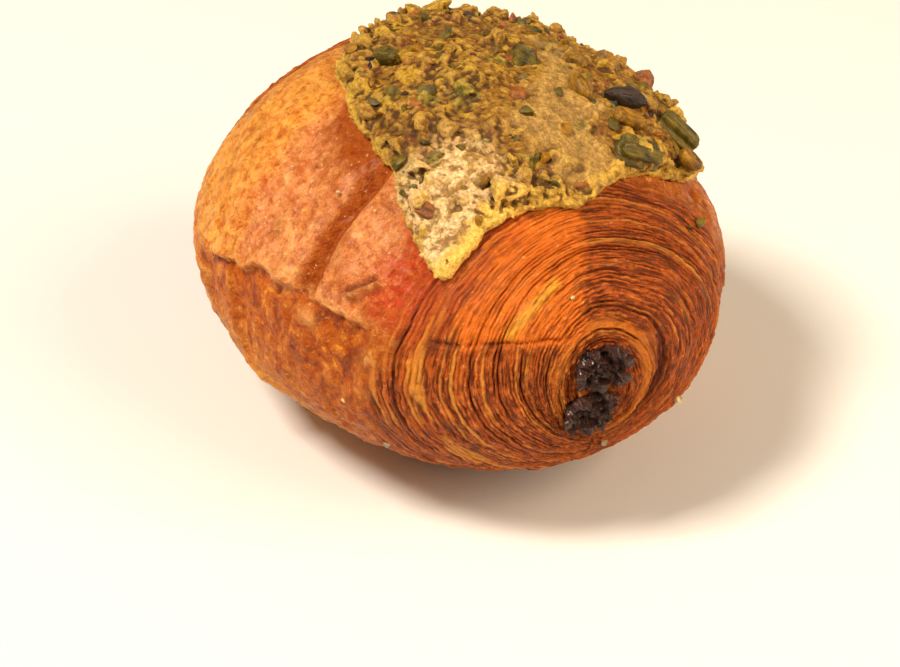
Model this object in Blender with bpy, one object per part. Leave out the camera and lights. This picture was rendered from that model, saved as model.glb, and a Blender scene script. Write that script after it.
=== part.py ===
"""Rolled chocolate croissant: layered dough, two chocolate sticks and a pistachio topping with nut pieces.

The roll lies along X, its nearer end at +X, and rests on a flat spot at Z = 0. All lengths are in metres.
An angle round the roll is in degrees: 0 at the +Y side, 90 at the top, 180 at the -Y side.
"""
import math
import random

import bmesh
import bpy
import numpy as np
from mathutils import Matrix, Vector, noise

# Roll of dough
FRONT_LENGTH = 0.0494
BACK_LENGTH = 0.0468
WIDTH = 0.0836
CENTRE_HEIGHT = 0.0283
TOP_RISE = 0.0314
UNDERSIDE_DROP = 0.0302
FRONT_TAPER = -0.033
LENGTH_EXPONENTS = (1.66, 1.84)
RADIUS_EXPONENTS = (2.69, 2.20)
SECTION_EXPONENTS = (1.79, 2.03)

# Layered ends: a spiral ridge of folded sheets runs from the core to where the smooth skin begins
RIDGES_PER_END = 12
RIDGE_HEIGHT = 0.0009
CORE_RADIUS_SHARE = 0.24
CORE_CLOSING = 0.1
LAYER_EDGE = {1: 0.0328, -1: -0.0318}
SKIN_ROWS = 15
COLUMNS = 45
CORE_NARROWING = 0.42
CORE_STRETCH = 0.28
CORE_REACH = 0.38
CORE_END = 0.75
CORE_LIP = 0.0009
CORE_LIP_SHARE = 0.30
CORE_LIP_SPREAD = 0.07
RING_LEAN = 0.065
RING_LEAN_ANGLE = 165.0

# Relief of the baked skin
GROOVE_X = 0.0123
GROOVE_ANGLE = 110.0
GROOVE_DRIFT = 0.000135
GROOVE_HALF_WIDTH = 0.0024
GROOVE_DEPTH = 0.0016
GROOVE_ENDS = ((22.0, 34.0), (156.0, 162.0))
CREASE_X = -0.0050
CREASE_ANGLE = 117.0
CREASE_DRIFT = 0.000105
CREASE_STEP = 0.0010
CREASE_HALF_WIDTH = 0.001
CREASE_BAND = ((-0.030, -0.018), (0.011, 0.020))
FLAPS = ((163.0, -0.010, 0.031, 1), (14.0, -0.024, 0.012, -1))
FLAP_STEP = 0.0013
FLAP_RUN_IN = 0.004
FLAP_DROP = (-2.0, 3.5)
FLAP_FADE = (14.0, 40.0)
UNEVENNESS = 0.0011
UNEVEN_SPACING = 0.017
BARE_SHARE = 1.12

# Chocolate sticks, end to end through the roll
STICK_HEIGHTS = {"upper": 0.0328, "lower": 0.0252}
STICK_SIDES = {"upper": 0.0006, "lower": -0.0011}
STICK_WIDTH = 0.0078
STICK_THICKNESS = 0.0060
STICK_PROUD = 0.0003
STICK_WANDER = 0.0005
STICK_WAVE = 0.016
STICK_CORNER = 0.7
STICK_RISE_WAVES = 1.4
STICK_END_LUMP = 0.0010
STICK_END_LUMP_SPACING = 0.002
STICK_END_MIDDLE_LUMP = STICK_END_LUMP / 3
STICK_END_RING = 0.6
STICK_STATIONS = 13
STICK_SIDES_ROUND = 12
GAP = 0.0003

# Topping, laid out on the roll's skin by X and by the angle round the roll
ARC_PER_DEGREE = 0.00065
PASTE_CENTRE = (0.006, 78.0)
PASTE_OUTLINE = (
    (0.0344, 132), (0.0229, 126), (0.0151, 121), (0.0021, 119), (-0.0086, 115), (-0.0165, 110),
    (-0.0235, 100), (-0.0270, 84), (-0.0235, 62), (-0.0140, 44), (-0.0010, 33), (0.0120, 28),
    (0.0222, 33), (0.0265, 50), (0.0292, 64), (0.0340, 80), (0.0335, 95), (0.0330, 110), (0.0347, 123),
)
PASTE_BASE_GAP = 0.00055
PASTE_THICKNESS = 0.0024
PASTE_RIM = 0.0010
PASTE_RIM_ROUNDING = 8
PASTE_LUMP = 0.0016
PASTE_LUMP_SPACING = 0.0068
HEAP_PLACE = (0.011, 50.0)
HEAP_REACH = 0.015
HEAP_RISE = 0.0014
PASTE_SPOKES = 54
PASTE_RINGS = (0.0, 0.13, 0.26, 0.39, 0.51, 0.62, 0.72, 0.81, 0.885, 0.94, 0.98, 1.0)
UNDER_RINGS = (0.0, 0.18, 0.36, 0.53, 0.69, 0.85, 1.0)
BITS = 46
BIT_SEED = 11
BIT_SIZE = (0.0024, 0.0040)
BIT_SPACING = 0.0050
BIT_LIFT = 0.04
BIT_LENGTH_SHARE = 1.25
BIT_HEIGHT_SHARE = 0.85
BIT_ROUGHNESS = 0.3
BIT_REACH_SHARE = 0.93

# Nut pieces: X, angle round the roll, length, width, height, turn from X towards +Y
NUTS = {
    "pistachio_yellow_kernel": (0.0131, 67.5, 0.0064, 0.0034, 0.0036, 5.0),
    "pistachio_dark_skinned": (0.0148, 57.0, 0.0088, 0.0032, 0.0036, 95.0),
    "pistachio_yellow_half": (0.0202, 59.0, 0.0060, 0.0034, 0.0036, 80.0),
    "pistachio_olive_ribbed": (0.0262, 59.0, 0.0086, 0.0044, 0.0040, 92.0),
    "pistachio_dark_green": (0.0176, 42.0, 0.0080, 0.0034, 0.0036, 60.0),
    "pistachio_gold_tip": (0.0238, 41.5, 0.0044, 0.0032, 0.0032, 70.0),
    "pistachio_bright_green": (-0.0043, 105.0, 0.0044, 0.0030, 0.0034, 20.0),
    "pistachio_green_shard": (0.0040, 75.0, 0.0076, 0.0030, 0.0040, 20.0),
    "pistachio_small_yellow": (0.0060, 64.0, 0.0044, 0.0034, 0.0032, 60.0),
    "pistachio_brown_lump": (0.0128, 83.5, 0.0052, 0.0044, 0.0034, 0.0),
    "pistachio_red_chunk": (0.0260, 122.5, 0.0040, 0.0032, 0.0028, 10.0),
    "pistachio_tan_block": (0.0008, 51.0, 0.0058, 0.0042, 0.0042, 0.0),
    "pistachio_brown_block": (0.0010, 40.0, 0.0058, 0.0044, 0.0042, 0.0),
}
NUT_LIFT = 0.0005
UNDERSIDE_DEPTH = 0.6
NUT_ROUGHNESS = 0.16
PEBBLE_WAVES = 1.7

# Colours: linear red, green, blue, then roughness
FINISHES = {
    "baked_dough": ((0.43, 0.13, 0.035), 0.45),
    "chocolate": ((0.035, 0.014, 0.009), 0.35),
    "pistachio_paste": ((0.38, 0.22, 0.045), 0.7),
    "yellow_nut": ((0.36, 0.19, 0.02), 0.5),
    "green_nut": ((0.16, 0.15, 0.015), 0.5),
    "dark_nut": ((0.06, 0.035, 0.02), 0.5),
    "brown_nut": ((0.22, 0.07, 0.015), 0.5),
}
NUT_FINISHES = {
    "pistachio_dark_skinned": "dark_nut",
    "pistachio_olive_ribbed": "green_nut",
    "pistachio_dark_green": "green_nut",
    "pistachio_bright_green": "green_nut",
    "pistachio_green_shard": "green_nut",
    "pistachio_brown_lump": "brown_nut",
    "pistachio_red_chunk": "brown_nut",
    "pistachio_brown_block": "brown_nut",
}


def clear_scene():
    """Remove every object that the file starts with."""
    for thing in list(bpy.data.objects):
        bpy.data.objects.remove(thing, do_unlink=True)


def finish_material(name):
    """Plain surface with the colour and roughness of one finish."""
    material = bpy.data.materials.get(name) or bpy.data.materials.new(name)
    material.use_nodes = True
    colour, roughness = FINISHES[name]
    shader = material.node_tree.nodes["Principled BSDF"]
    shader.inputs["Base Color"].default_value = (*colour, 1.0)
    shader.inputs["Roughness"].default_value = roughness
    return material


def mesh_object(name, points, faces, finish):
    """New object from points and faces, with one finish."""
    mesh = bpy.data.meshes.new(name)
    mesh.from_pydata([tuple(map(float, point)) for point in points], [], faces)
    mesh.validate()
    mesh.materials.append(finish_material(finish))
    thing = bpy.data.objects.new(name, mesh)
    bpy.context.scene.collection.objects.link(thing)
    return thing


def smooth_step(low, high, value):
    """Zero below low, one above high, smooth between."""
    share = np.clip((value - low) / (high - low), 0.0, 1.0)
    return share * share * (3.0 - 2.0 * share)


def signed_power(value, power):
    """Power of the size, with the sign kept."""
    return np.sign(value) * np.abs(value) ** power


def roll_point(tau, degrees):
    """Point of the smooth roll: tau runs from 0 at the +X end to pi at the other."""
    front = math.cos(tau) > 0.0
    length_power = 2.0 / LENGTH_EXPONENTS[0 if front else 1]
    radius_exponent = RADIUS_EXPONENTS[0 if front else 1]
    round_angle = math.radians(degrees)
    side, rise = math.cos(round_angle), math.sin(round_angle)
    section = SECTION_EXPONENTS[0 if rise > 0.0 else 1]
    share = abs(math.sin(tau)) ** (2.0 / radius_exponent)
    core = max(0.0, math.exp(-((share / CORE_REACH) ** 2)) - math.exp(-((CORE_END / CORE_REACH) ** 2)))
    narrow = 1.0 - CORE_NARROWING * core
    stretch = 1.0 + CORE_STRETCH * core
    half_width = WIDTH / 2 * (1.0 + FRONT_TAPER * math.cos(tau))
    y = share * narrow * half_width * signed_power(side, 2.0 / section)
    drop = TOP_RISE if rise > 0.0 else UNDERSIDE_DROP
    z = share * stretch * drop * signed_power(rise, 2.0 / section)
    spread = (narrow**section * side**2 + stretch**section * rise**2) ** (1.0 / section)
    sine = min(1.0, (share * spread) ** (radius_exponent / 2.0))
    reach = math.sqrt(1.0 - sine * sine) ** length_power
    x = FRONT_LENGTH * reach if front else -BACK_LENGTH * reach
    return np.array((x, y, CENTRE_HEIGHT + z))


def roll_normal(tau, degrees):
    """Outward direction of the smooth roll."""
    step = 0.004
    along = roll_point(min(tau + step, math.pi), degrees) - roll_point(max(tau - step, 0.0), degrees)
    turn = math.degrees(step)
    across = roll_point(tau, degrees + turn) - roll_point(tau, degrees - turn)
    normal = np.cross(along, across)
    size = np.linalg.norm(normal)
    point = roll_point(tau, degrees)
    if size < 1e-12:
        return np.array((math.copysign(1.0, point[0]), 0.0, 0.0))
    outward = point - np.array((point[0] * 0.5, 0.0, CENTRE_HEIGHT))
    return normal / size * math.copysign(1.0, float(normal @ outward))


def tau_at(x):
    """Value of tau where the roll's full section stands at x."""
    exponent = LENGTH_EXPONENTS[0 if x > 0.0 else 1]
    length = FRONT_LENGTH if x > 0.0 else BACK_LENGTH
    return math.acos(math.copysign(min(1.0, abs(x) / length) ** (exponent / 2.0), x))


def tau_of_share(share, end):
    """Value of tau where the section is that share of the full one."""
    exponent = RADIUS_EXPONENTS[0 if end > 0 else 1]
    tau = math.asin(share ** (exponent / 2.0))
    return tau if end > 0 else math.pi - tau


def topping_plane(x, degrees):
    """X and arc length on the roll's skin, where the topping is laid out."""
    return np.array((x, (90.0 - degrees) * ARC_PER_DEGREE))


def outline_curve(samples_per_span=12):
    """Closed smooth curve through the topping's outline points."""
    knots = [topping_plane(x, degrees) for x, degrees in PASTE_OUTLINE]
    count = len(knots)
    curve = []
    for index in range(count):
        a, b, c, d = (knots[(index + shift - 1) % count] for shift in range(4))
        for step in range(samples_per_span):
            t = step / samples_per_span
            curve.append(0.5 * (2 * b + (c - a) * t + (2 * a - 5 * b + 4 * c - d) * t**2
                                + (3 * b - a - 3 * c + d) * t**3))
    return np.array(curve)


def outline_table():
    """Direction and reach of the outline, seen from the topping's centre, in rising direction."""
    offsets = outline_curve() - topping_plane(*PASTE_CENTRE)
    directions = np.arctan2(offsets[:, 1], offsets[:, 0])
    reaches = np.linalg.norm(offsets, axis=1)
    order = np.argsort(directions)
    return directions[order], reaches[order]


OUTLINE = outline_table()


def outline_reach(direction):
    """Distance from the topping's centre to its edge in one direction."""
    return float(np.interp(direction, *OUTLINE, period=2 * math.pi))


def cover_share(x, degrees):
    """Place inside the topping: 0 at its centre, 1 at its edge, more outside."""
    offset = topping_plane(x, degrees) - topping_plane(*PASTE_CENTRE)
    return float(np.linalg.norm(offset)) / outline_reach(math.atan2(offset[1], offset[0]))


def lumps(point, spacing, seed):
    """Even-handed random height at a point, between about -1 and 1."""
    return noise.noise(Vector(point) / spacing + Vector((seed, 0.0, 0.0)))


def groove_relief(x, degrees):
    """Shallow trough that runs round the roll over its top."""
    centre = GROOVE_X + GROOVE_DRIFT * abs(degrees - GROOVE_ANGLE)
    depth = math.exp(-(((x - centre) / GROOVE_HALF_WIDTH) ** 2))
    low_end, high_end = GROOVE_ENDS
    return -GROOVE_DEPTH * depth * smooth_step(*low_end, degrees) * (1.0 - smooth_step(*high_end, degrees))


def flap_relief(x, degrees):
    """Step down below each loose edge of the outer sheet."""
    depth = 0.0
    for edge, low, high, side in FLAPS:
        below = side * (degrees - edge)
        along = smooth_step(low, low + FLAP_RUN_IN, x) * (1.0 - smooth_step(high - FLAP_RUN_IN, high, x))
        depth += along * smooth_step(*FLAP_DROP, below) * (1.0 - smooth_step(*FLAP_FADE, below))
    return -FLAP_STEP * depth


def skin_relief(x, degrees, point):
    """Whole outward offset of the smooth skin."""
    turned = (degrees + 90.0) % 360.0 - 90.0
    crease_x = CREASE_X + CREASE_DRIFT * abs(turned - CREASE_ANGLE)
    crease = 0.5 - smooth_step(crease_x - CREASE_HALF_WIDTH, crease_x + CREASE_HALF_WIDTH, x)
    crease *= CREASE_STEP * smooth_step(*CREASE_BAND[0], x) * (1.0 - smooth_step(*CREASE_BAND[1], x))
    uneven = UNEVENNESS * lumps(point, UNEVEN_SPACING, 3.0)
    bare = smooth_step(1.0, BARE_SHARE, cover_share(x, turned))
    return bare * (groove_relief(x, turned) + flap_relief(x, turned) + crease + uneven)


def row_plan():
    """Tau and ridge height of every row, from the +X end to the other."""
    plan = []
    rows = 2 * RIDGES_PER_END
    shares = {}
    for end in (1, -1):
        edge_tau = tau_at(LAYER_EDGE[end])
        edge_share = math.sin(edge_tau) ** (2.0 / RADIUS_EXPONENTS[0 if end > 0 else 1])
        shares[end] = np.linspace(CORE_RADIUS_SHARE, edge_share, rows)
    for index, share in enumerate(shares[1]):
        plan.append((tau_of_share(share, 1), 0.5 if index % 2 else -0.5))
    first, last = tau_at(LAYER_EDGE[1]), tau_at(LAYER_EDGE[-1])
    for tau in np.linspace(first, last, SKIN_ROWS + 2)[1:-1]:
        plan.append((float(tau), 0.0))
    for index, share in enumerate(reversed(shares[-1])):
        plan.append((tau_of_share(share, -1), -0.5 if index % 2 else 0.5))
    return np.array(plan)


def dough_point(tau, degrees, ridge):
    """Point of the dough's surface with its relief, flat where it rests."""
    lean = RING_LEAN * math.cos(math.radians(degrees - RING_LEAN_ANGLE))
    tau = tau - lean * max(0.0, math.sin(2.0 * tau)) ** 2
    point = roll_point(tau, degrees)
    turned = (degrees + 90.0) % 360.0 - 90.0
    bare = smooth_step(1.0, BARE_SHARE, cover_share(point[0], turned))
    share = math.sin(tau) ** (2.0 / RADIUS_EXPONENTS[0 if point[0] > 0.0 else 1])
    lip = CORE_LIP * math.exp(-(((share - CORE_LIP_SHARE) / CORE_LIP_SPREAD) ** 2))
    offset = skin_relief(point[0], degrees, point) + ridge * RIDGE_HEIGHT * bare + lip
    point = point + roll_normal(tau, degrees) * offset
    point[2] = max(point[2], 0.0)
    return point


def dough_shell():
    """Closed shell of the roll, its rows joined into one spiral that moves one ridge in each turn."""
    plan = row_plan()
    count = len(plan)
    spare = [tau_of_share(CORE_RADIUS_SHARE * (1.0 - CORE_CLOSING * step), 1) for step in (2, 1)]
    places = np.arange(-2, count)
    taus = np.array([*spare, *plan[:, 0]])
    points = []
    for row in range(count):
        for column in range(COLUMNS):
            tau = float(np.interp(row - 2.0 * column / COLUMNS, places, taus))
            points.append(dough_point(tau, column * 360.0 / COLUMNS, float(plan[row, 1])))

    def at(row, column):
        return row * COLUMNS + column

    faces = []
    for row in range(count - 1):
        for column in range(COLUMNS - 1):
            faces.append((at(row, column), at(row, column + 1), at(row + 1, column + 1), at(row + 1, column)))
    last = COLUMNS - 1
    for row in range(2, count - 1):
        faces.append((at(row, last), at(row - 2, 0), at(row - 1, 0), at(row + 1, last)))
    front = [at(0, column) for column in range(COLUMNS)] + [at(1, last), at(2, last)]
    back = [at(count - 1, column) for column in range(COLUMNS)] + [at(count - 3, 0), at(count - 2, 0)]
    for loop, tau in ((front, 0.0), (back, math.pi)):
        centre = len(points)
        points.append(roll_point(tau, 0.0))
        for index, corner in enumerate(loop):
            faces.append((corner, loop[(index + 1) % len(loop)], centre))
    return points, faces


def face_outward(thing):
    """Turn every face of a closed mesh outward."""
    work = bmesh.new()
    work.from_mesh(thing.data)
    bmesh.ops.recalc_face_normals(work, faces=work.faces)
    work.to_mesh(thing.data)
    work.free()


def stick_shell(height, side, extra=0.0, overrun=0.0):
    """Wavy bar with rounded corners and lumpy ends, from one end of the roll to the other."""
    points = []
    first, last = -BACK_LENGTH - STICK_PROUD - overrun, FRONT_LENGTH + STICK_PROUD + overrun
    lump = 0.0 if overrun else STICK_END_LUMP
    for x in np.linspace(first, last, STICK_STATIONS + 1):
        y = side + STICK_WANDER * math.sin(x / STICK_WAVE + height / GAP)
        z = height + STICK_WANDER / 2 * math.sin(x / STICK_WAVE * STICK_RISE_WAVES)
        for index in range(STICK_SIDES_ROUND):
            angle = 2.0 * math.pi * index / STICK_SIDES_ROUND
            wide = (STICK_WIDTH / 2 + extra) * signed_power(math.cos(angle), STICK_CORNER)
            thick = (STICK_THICKNESS / 2 + extra) * signed_power(math.sin(angle), STICK_CORNER)
            points.append(np.array((x, y + wide, z + thick)))
    faces = []
    for station in range(STICK_STATIONS):
        for index in range(STICK_SIDES_ROUND):
            a = station * STICK_SIDES_ROUND + index
            b = station * STICK_SIDES_ROUND + (index + 1) % STICK_SIDES_ROUND
            faces.append((a, a + STICK_SIDES_ROUND, b + STICK_SIDES_ROUND, b))
    for end, first in ((-1, 0), (1, STICK_STATIONS * STICK_SIDES_ROUND)):
        ring = list(range(first, first + STICK_SIDES_ROUND))
        middle = sum(points[corner] for corner in ring) / len(ring)
        inner = []
        for corner in ring:
            inner.append(len(points))
            bulge = lump * (0.5 + lumps(points[corner], STICK_END_LUMP_SPACING, height))
            shrunk = points[corner] * STICK_END_RING + middle * (1.0 - STICK_END_RING)
            points.append(shrunk + np.array((end * bulge, 0.0, 0.0)))
        centre = len(points)
        points.append(middle + np.array((end * (STICK_END_MIDDLE_LUMP if lump else 0.0), 0.0, 0.0)))
        for index, corner in enumerate(ring):
            following = (index + 1) % STICK_SIDES_ROUND
            faces.append((corner, ring[following], inner[following], inner[index]))
            faces.append((inner[index], inner[following], centre))
    return points, faces


def skin_frame(x, degrees):
    """Point on the smooth roll, with directions along X, towards +Y round the roll, and outward."""
    tau = tau_at(x)
    point, outward = roll_point(tau, degrees), roll_normal(tau, degrees)
    along = roll_point(tau_at(x + GAP), degrees) - roll_point(tau_at(x - GAP), degrees)
    along = along - outward * float(along @ outward)
    along = along / np.linalg.norm(along)
    return point, along, np.cross(outward, along), outward


def paste_height(x, degrees):
    """Height of the topping's upper face over the smooth roll, away from its rim."""
    point = roll_point(tau_at(x), degrees)
    away = np.linalg.norm(topping_plane(x, degrees) - topping_plane(*HEAP_PLACE)) / HEAP_REACH
    heap = HEAP_RISE * math.exp(-away * away)
    return PASTE_BASE_GAP + PASTE_THICKNESS + heap + PASTE_LUMP * lumps(point, PASTE_LUMP_SPACING, 9.0)


def paste_point(direction, ring, upper):
    """Point of the topping's upper or lower face at one share of its reach."""
    offset = ring * outline_reach(direction) * np.array((math.cos(direction), math.sin(direction)))
    x, arc = topping_plane(*PASTE_CENTRE) + offset
    degrees = 90.0 - arc / ARC_PER_DEGREE
    point, _, _, outward = skin_frame(x, degrees)
    if not upper:
        return point + outward * PASTE_BASE_GAP
    rim = PASTE_BASE_GAP + PASTE_RIM
    fall = (1.0 - ring**PASTE_RIM_ROUNDING) ** 0.5
    return point + outward * (rim + (paste_height(x, degrees) - rim) * fall)


def paste_shell():
    """Closed shell of the spread topping, over and under."""
    points = []
    faces = []
    rows = {}
    for upper, rings in ((True, PASTE_RINGS), (False, UNDER_RINGS)):
        for level, ring in enumerate(rings):
            spokes = PASTE_SPOKES if level else 1
            rows[upper, level] = list(range(len(points), len(points) + spokes))
            for spoke in range(spokes):
                direction = 2.0 * math.pi * spoke / PASTE_SPOKES
                points.append(paste_point(direction, ring, upper))
    for upper, rings in ((True, PASTE_RINGS), (False, UNDER_RINGS)):
        for level in range(len(rings) - 1):
            inner, outer = rows[upper, level], rows[upper, level + 1]
            for spoke in range(PASTE_SPOKES):
                following = (spoke + 1) % PASTE_SPOKES
                if level == 0:
                    faces.append((inner[0], outer[spoke], outer[following]))
                else:
                    faces.append((inner[spoke], outer[spoke], outer[following], inner[following]))
    top_rim, under_rim = rows[True, len(PASTE_RINGS) - 1], rows[False, len(UNDER_RINGS) - 1]
    for spoke in range(PASTE_SPOKES):
        following = (spoke + 1) % PASTE_SPOKES
        faces.append((top_rim[spoke], under_rim[spoke], under_rim[following], top_rim[following]))
    return points, faces


def pebble(name, size, frame, turn, finish, detail=1, roughness=NUT_ROUGHNESS, extra=0.0):
    """Irregular rounded piece of the given length, width and height, set on a skin frame."""
    work = bmesh.new()
    bmesh.ops.create_icosphere(work, subdivisions=detail, radius=1.0)
    point, along, across, outward = (Vector(axis) for axis in frame)
    cosine, sine = math.cos(math.radians(turn)), math.sin(math.radians(turn))
    axes = (along * cosine + across * sine, across * cosine - along * sine, outward)
    for corner in work.verts:
        unit = corner.co.copy()
        swell = 1.0 + roughness * noise.noise(unit * PEBBLE_WAVES + Vector((turn, size[0] / GAP, 0.0)))
        place = point.copy()
        for share, axis, length in zip(unit, axes, size):
            place += axis * (share * (length / 2 * swell + extra))
        if unit.z < 0.0:
            place -= outward * (unit.z * (1.0 - UNDERSIDE_DEPTH) * size[2] / 2)
        corner.co = place
    bmesh.ops.recalc_face_normals(work, faces=work.faces)
    mesh = bpy.data.meshes.new(name)
    work.to_mesh(mesh)
    work.free()
    mesh.materials.append(finish_material(finish))
    thing = bpy.data.objects.new(name, mesh)
    bpy.context.scene.collection.objects.link(thing)
    return thing


def nut_frame(name):
    """Frame of one nut piece, lifted to where it sits half sunk in the topping."""
    x, degrees, _, _, _, turn = NUTS[name]
    point, along, across, outward = skin_frame(x, degrees)
    return (point + outward * (paste_height(x, degrees) + NUT_LIFT), along, across, outward), turn


def nut_piece(name, extra=0.0):
    """One large nut piece, or the pocket that it leaves when it is given some extra."""
    frame, turn = nut_frame(name)
    finish = NUT_FINISHES.get(name, "yellow_nut")
    label = name if not extra else name + "_pocket"
    return pebble(label, NUTS[name][2:5], frame, turn, finish, detail=2, extra=extra)


def bit_places():
    """Seeded places of the chopped bits, kept apart and off the large nut pieces."""
    chance = random.Random(BIT_SEED)
    taken = []
    for x, degrees, length, width, _, _ in NUTS.values():
        taken.append((topping_plane(x, degrees), (length + width) / 4 + BIT_SIZE[1] / 2))
    places = []
    while len(places) < BITS:
        direction = chance.uniform(-math.pi, math.pi)
        ring = BIT_REACH_SHARE * math.sqrt(chance.random())
        size = chance.uniform(*BIT_SIZE)
        turn = chance.uniform(0.0, 180.0)
        offset = ring * outline_reach(direction) * np.array((math.cos(direction), math.sin(direction)))
        spot = topping_plane(*PASTE_CENTRE) + offset
        if all(np.linalg.norm(spot - other) > reach for other, reach in taken):
            taken.append((spot, BIT_SPACING))
            places.append((spot[0], 90.0 - spot[1] / ARC_PER_DEGREE, size, turn))
    return places


def chopped_bit(index, x, degrees, size, turn):
    """One chopped bit, most of it standing out of the topping."""
    point, along, across, outward = skin_frame(x, degrees)
    frame = (point + outward * (paste_height(x, degrees) + size * BIT_LIFT), along, across, outward)
    sides = (size * BIT_LENGTH_SHARE, size, size * BIT_HEIGHT_SHARE)
    return pebble(f"bit_{index}", sides, frame, turn, "pistachio_paste", roughness=BIT_ROUGHNESS)


def combine(thing, others, operation):
    """Join the other objects to one, or cut them from it, and remove them."""
    group = bpy.data.collections.new("tools")
    bpy.context.scene.collection.children.link(group)
    for other in others:
        bpy.context.scene.collection.objects.unlink(other)
        group.objects.link(other)
    modifier = thing.modifiers.new("combine", "BOOLEAN")
    modifier.operation = operation
    modifier.operand_type = "COLLECTION"
    modifier.collection = group
    modifier.solver = "EXACT"
    graph = bpy.context.evaluated_depsgraph_get()
    mesh = bpy.data.meshes.new_from_object(thing.evaluated_get(graph))
    thing.modifiers.clear()
    thing.data = mesh
    for other in list(group.objects):
        bpy.data.objects.remove(other, do_unlink=True)
    bpy.data.collections.remove(group)
    keep_largest_body(thing)


def keep_largest_body(thing):
    """Drop loose scraps and the walls of sealed hollows, and split the faces into triangles."""
    work = bmesh.new()
    work.from_mesh(thing.data)
    bmesh.ops.triangulate(work, faces=work.faces)
    remaining = set(work.faces)
    bodies = []
    while remaining:
        body, rim = [], [remaining.pop()]
        while rim:
            face = rim.pop()
            body.append(face)
            for edge in face.edges:
                for other in edge.link_faces:
                    if other in remaining:
                        remaining.discard(other)
                        rim.append(other)
        bodies.append(body)
    bodies.sort(key=len)
    for body in bodies[:-1]:
        bmesh.ops.delete(work, geom=body, context="FACES")
    work.to_mesh(thing.data)
    work.free()


def build_dough():
    """Dough with a channel for each chocolate stick."""
    dough = mesh_object("dough", *dough_shell(), "baked_dough")
    face_outward(dough)
    channels = []
    for place, height in STICK_HEIGHTS.items():
        shell = stick_shell(height, STICK_SIDES[place], extra=GAP, overrun=STICK_WIDTH)
        channels.append(mesh_object("channel_" + place, *shell, "chocolate"))
        face_outward(channels[-1])
    combine(dough, channels, "DIFFERENCE")
    return dough


def build_sticks():
    """The two chocolate sticks."""
    for place, height in STICK_HEIGHTS.items():
        stick = mesh_object("chocolate_stick_" + place, *stick_shell(height, STICK_SIDES[place]), "chocolate")
        face_outward(stick)


def build_topping():
    """Spread topping with its chopped bits fused on and a pocket under each large nut piece."""
    paste = mesh_object("pistachio_paste", *paste_shell(), "pistachio_paste")
    face_outward(paste)
    bits = [chopped_bit(index, *place) for index, place in enumerate(bit_places())]
    combine(paste, bits, "UNION")
    combine(paste, [nut_piece(name, extra=GAP) for name in NUTS], "DIFFERENCE")
    for name in NUTS:
        nut_piece(name)


def centre_over_origin():
    """Slide everything so that the whole stands centred over the origin."""
    meshes = [thing.data for thing in bpy.data.objects if thing.type == "MESH"]
    corners = np.array([corner.co[:] for mesh in meshes for corner in mesh.vertices])
    middle = (corners.min(axis=0) + corners.max(axis=0)) / 2
    for mesh in meshes:
        mesh.transform(Matrix.Translation((-middle[0], -middle[1], 0.0)))


def shade_round():
    """Smooth shading, with the sharper folds kept."""
    for thing in bpy.data.objects:
        if thing.type == "MESH":
            thing.data.shade_smooth()
            thing.data.set_sharp_from_angle(angle=math.radians(50.0))


def main():
    """Build every piece of the croissant."""
    clear_scene()
    build_dough()
    build_sticks()
    build_topping()
    centre_over_origin()
    shade_round()


main()
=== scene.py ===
"""Rolled chocolate croissant with layered ends, a baked pistachio crust and the light that shows it.

The croissant lies along X with its nearer end at +X and rests on Z = 0. All lengths are in metres. An angle
round the roll is in degrees: 0 at the +Y side, 90 at the top, 180 at the -Y side.
"""
import itertools
import math
import random

import bpy
import numpy as np
from bpy.props import FloatProperty, FloatVectorProperty, IntProperty, PointerProperty
from mathutils import Matrix, Vector, kdtree


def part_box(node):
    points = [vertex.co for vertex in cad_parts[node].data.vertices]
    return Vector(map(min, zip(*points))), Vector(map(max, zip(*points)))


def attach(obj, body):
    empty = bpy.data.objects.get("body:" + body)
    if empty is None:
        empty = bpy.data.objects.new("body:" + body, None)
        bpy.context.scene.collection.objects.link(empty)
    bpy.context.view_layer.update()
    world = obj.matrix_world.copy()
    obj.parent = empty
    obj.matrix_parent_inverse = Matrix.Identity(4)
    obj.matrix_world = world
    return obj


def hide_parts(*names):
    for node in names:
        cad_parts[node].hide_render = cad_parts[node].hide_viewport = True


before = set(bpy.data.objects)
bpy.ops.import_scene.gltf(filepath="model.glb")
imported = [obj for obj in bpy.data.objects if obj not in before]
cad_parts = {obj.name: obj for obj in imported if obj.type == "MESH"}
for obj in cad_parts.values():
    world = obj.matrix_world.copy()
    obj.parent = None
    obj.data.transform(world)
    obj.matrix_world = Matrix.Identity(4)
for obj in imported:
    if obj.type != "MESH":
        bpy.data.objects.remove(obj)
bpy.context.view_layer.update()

bl_info = {
    "name": "Pistachio Chocolate Croissant",
    "version": (1, 0, 0),
    "blender": (4, 5, 0),
    "location": "View3D > Sidebar > Croissant",
    "description": "Bakes a layered chocolate croissant with a crusted pistachio topping",
    "category": "Add Mesh",
}

# Smooth roll, as in the solids
MIDDLE = np.array((-0.0012008, 0.0002251, 0.0))
FRONT_LENGTH = 0.0494
BACK_LENGTH = 0.0468
WIDTH = 0.0836
CENTRE_HEIGHT = 0.0283
TOP_RISE = 0.0314
UNDERSIDE_DROP = 0.0302
FRONT_TAPER = -0.033
LENGTH_EXPONENTS = (1.66, 1.84)
RADIUS_EXPONENTS = (2.69, 2.20)
SECTION_EXPONENTS = (1.79, 2.03)
CORE_NARROWING = 0.42
CORE_STRETCH = 0.28
CORE_REACH = 0.38
CORE_END = 0.75

# Mesh of the dough: two layered ends and the skin between them
SKIN_START = 0.0272
SKIN_END = -0.0268
END_ROWS = (318, 230)
SKIN_ROWS = 296
COLUMNS = 308

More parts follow.
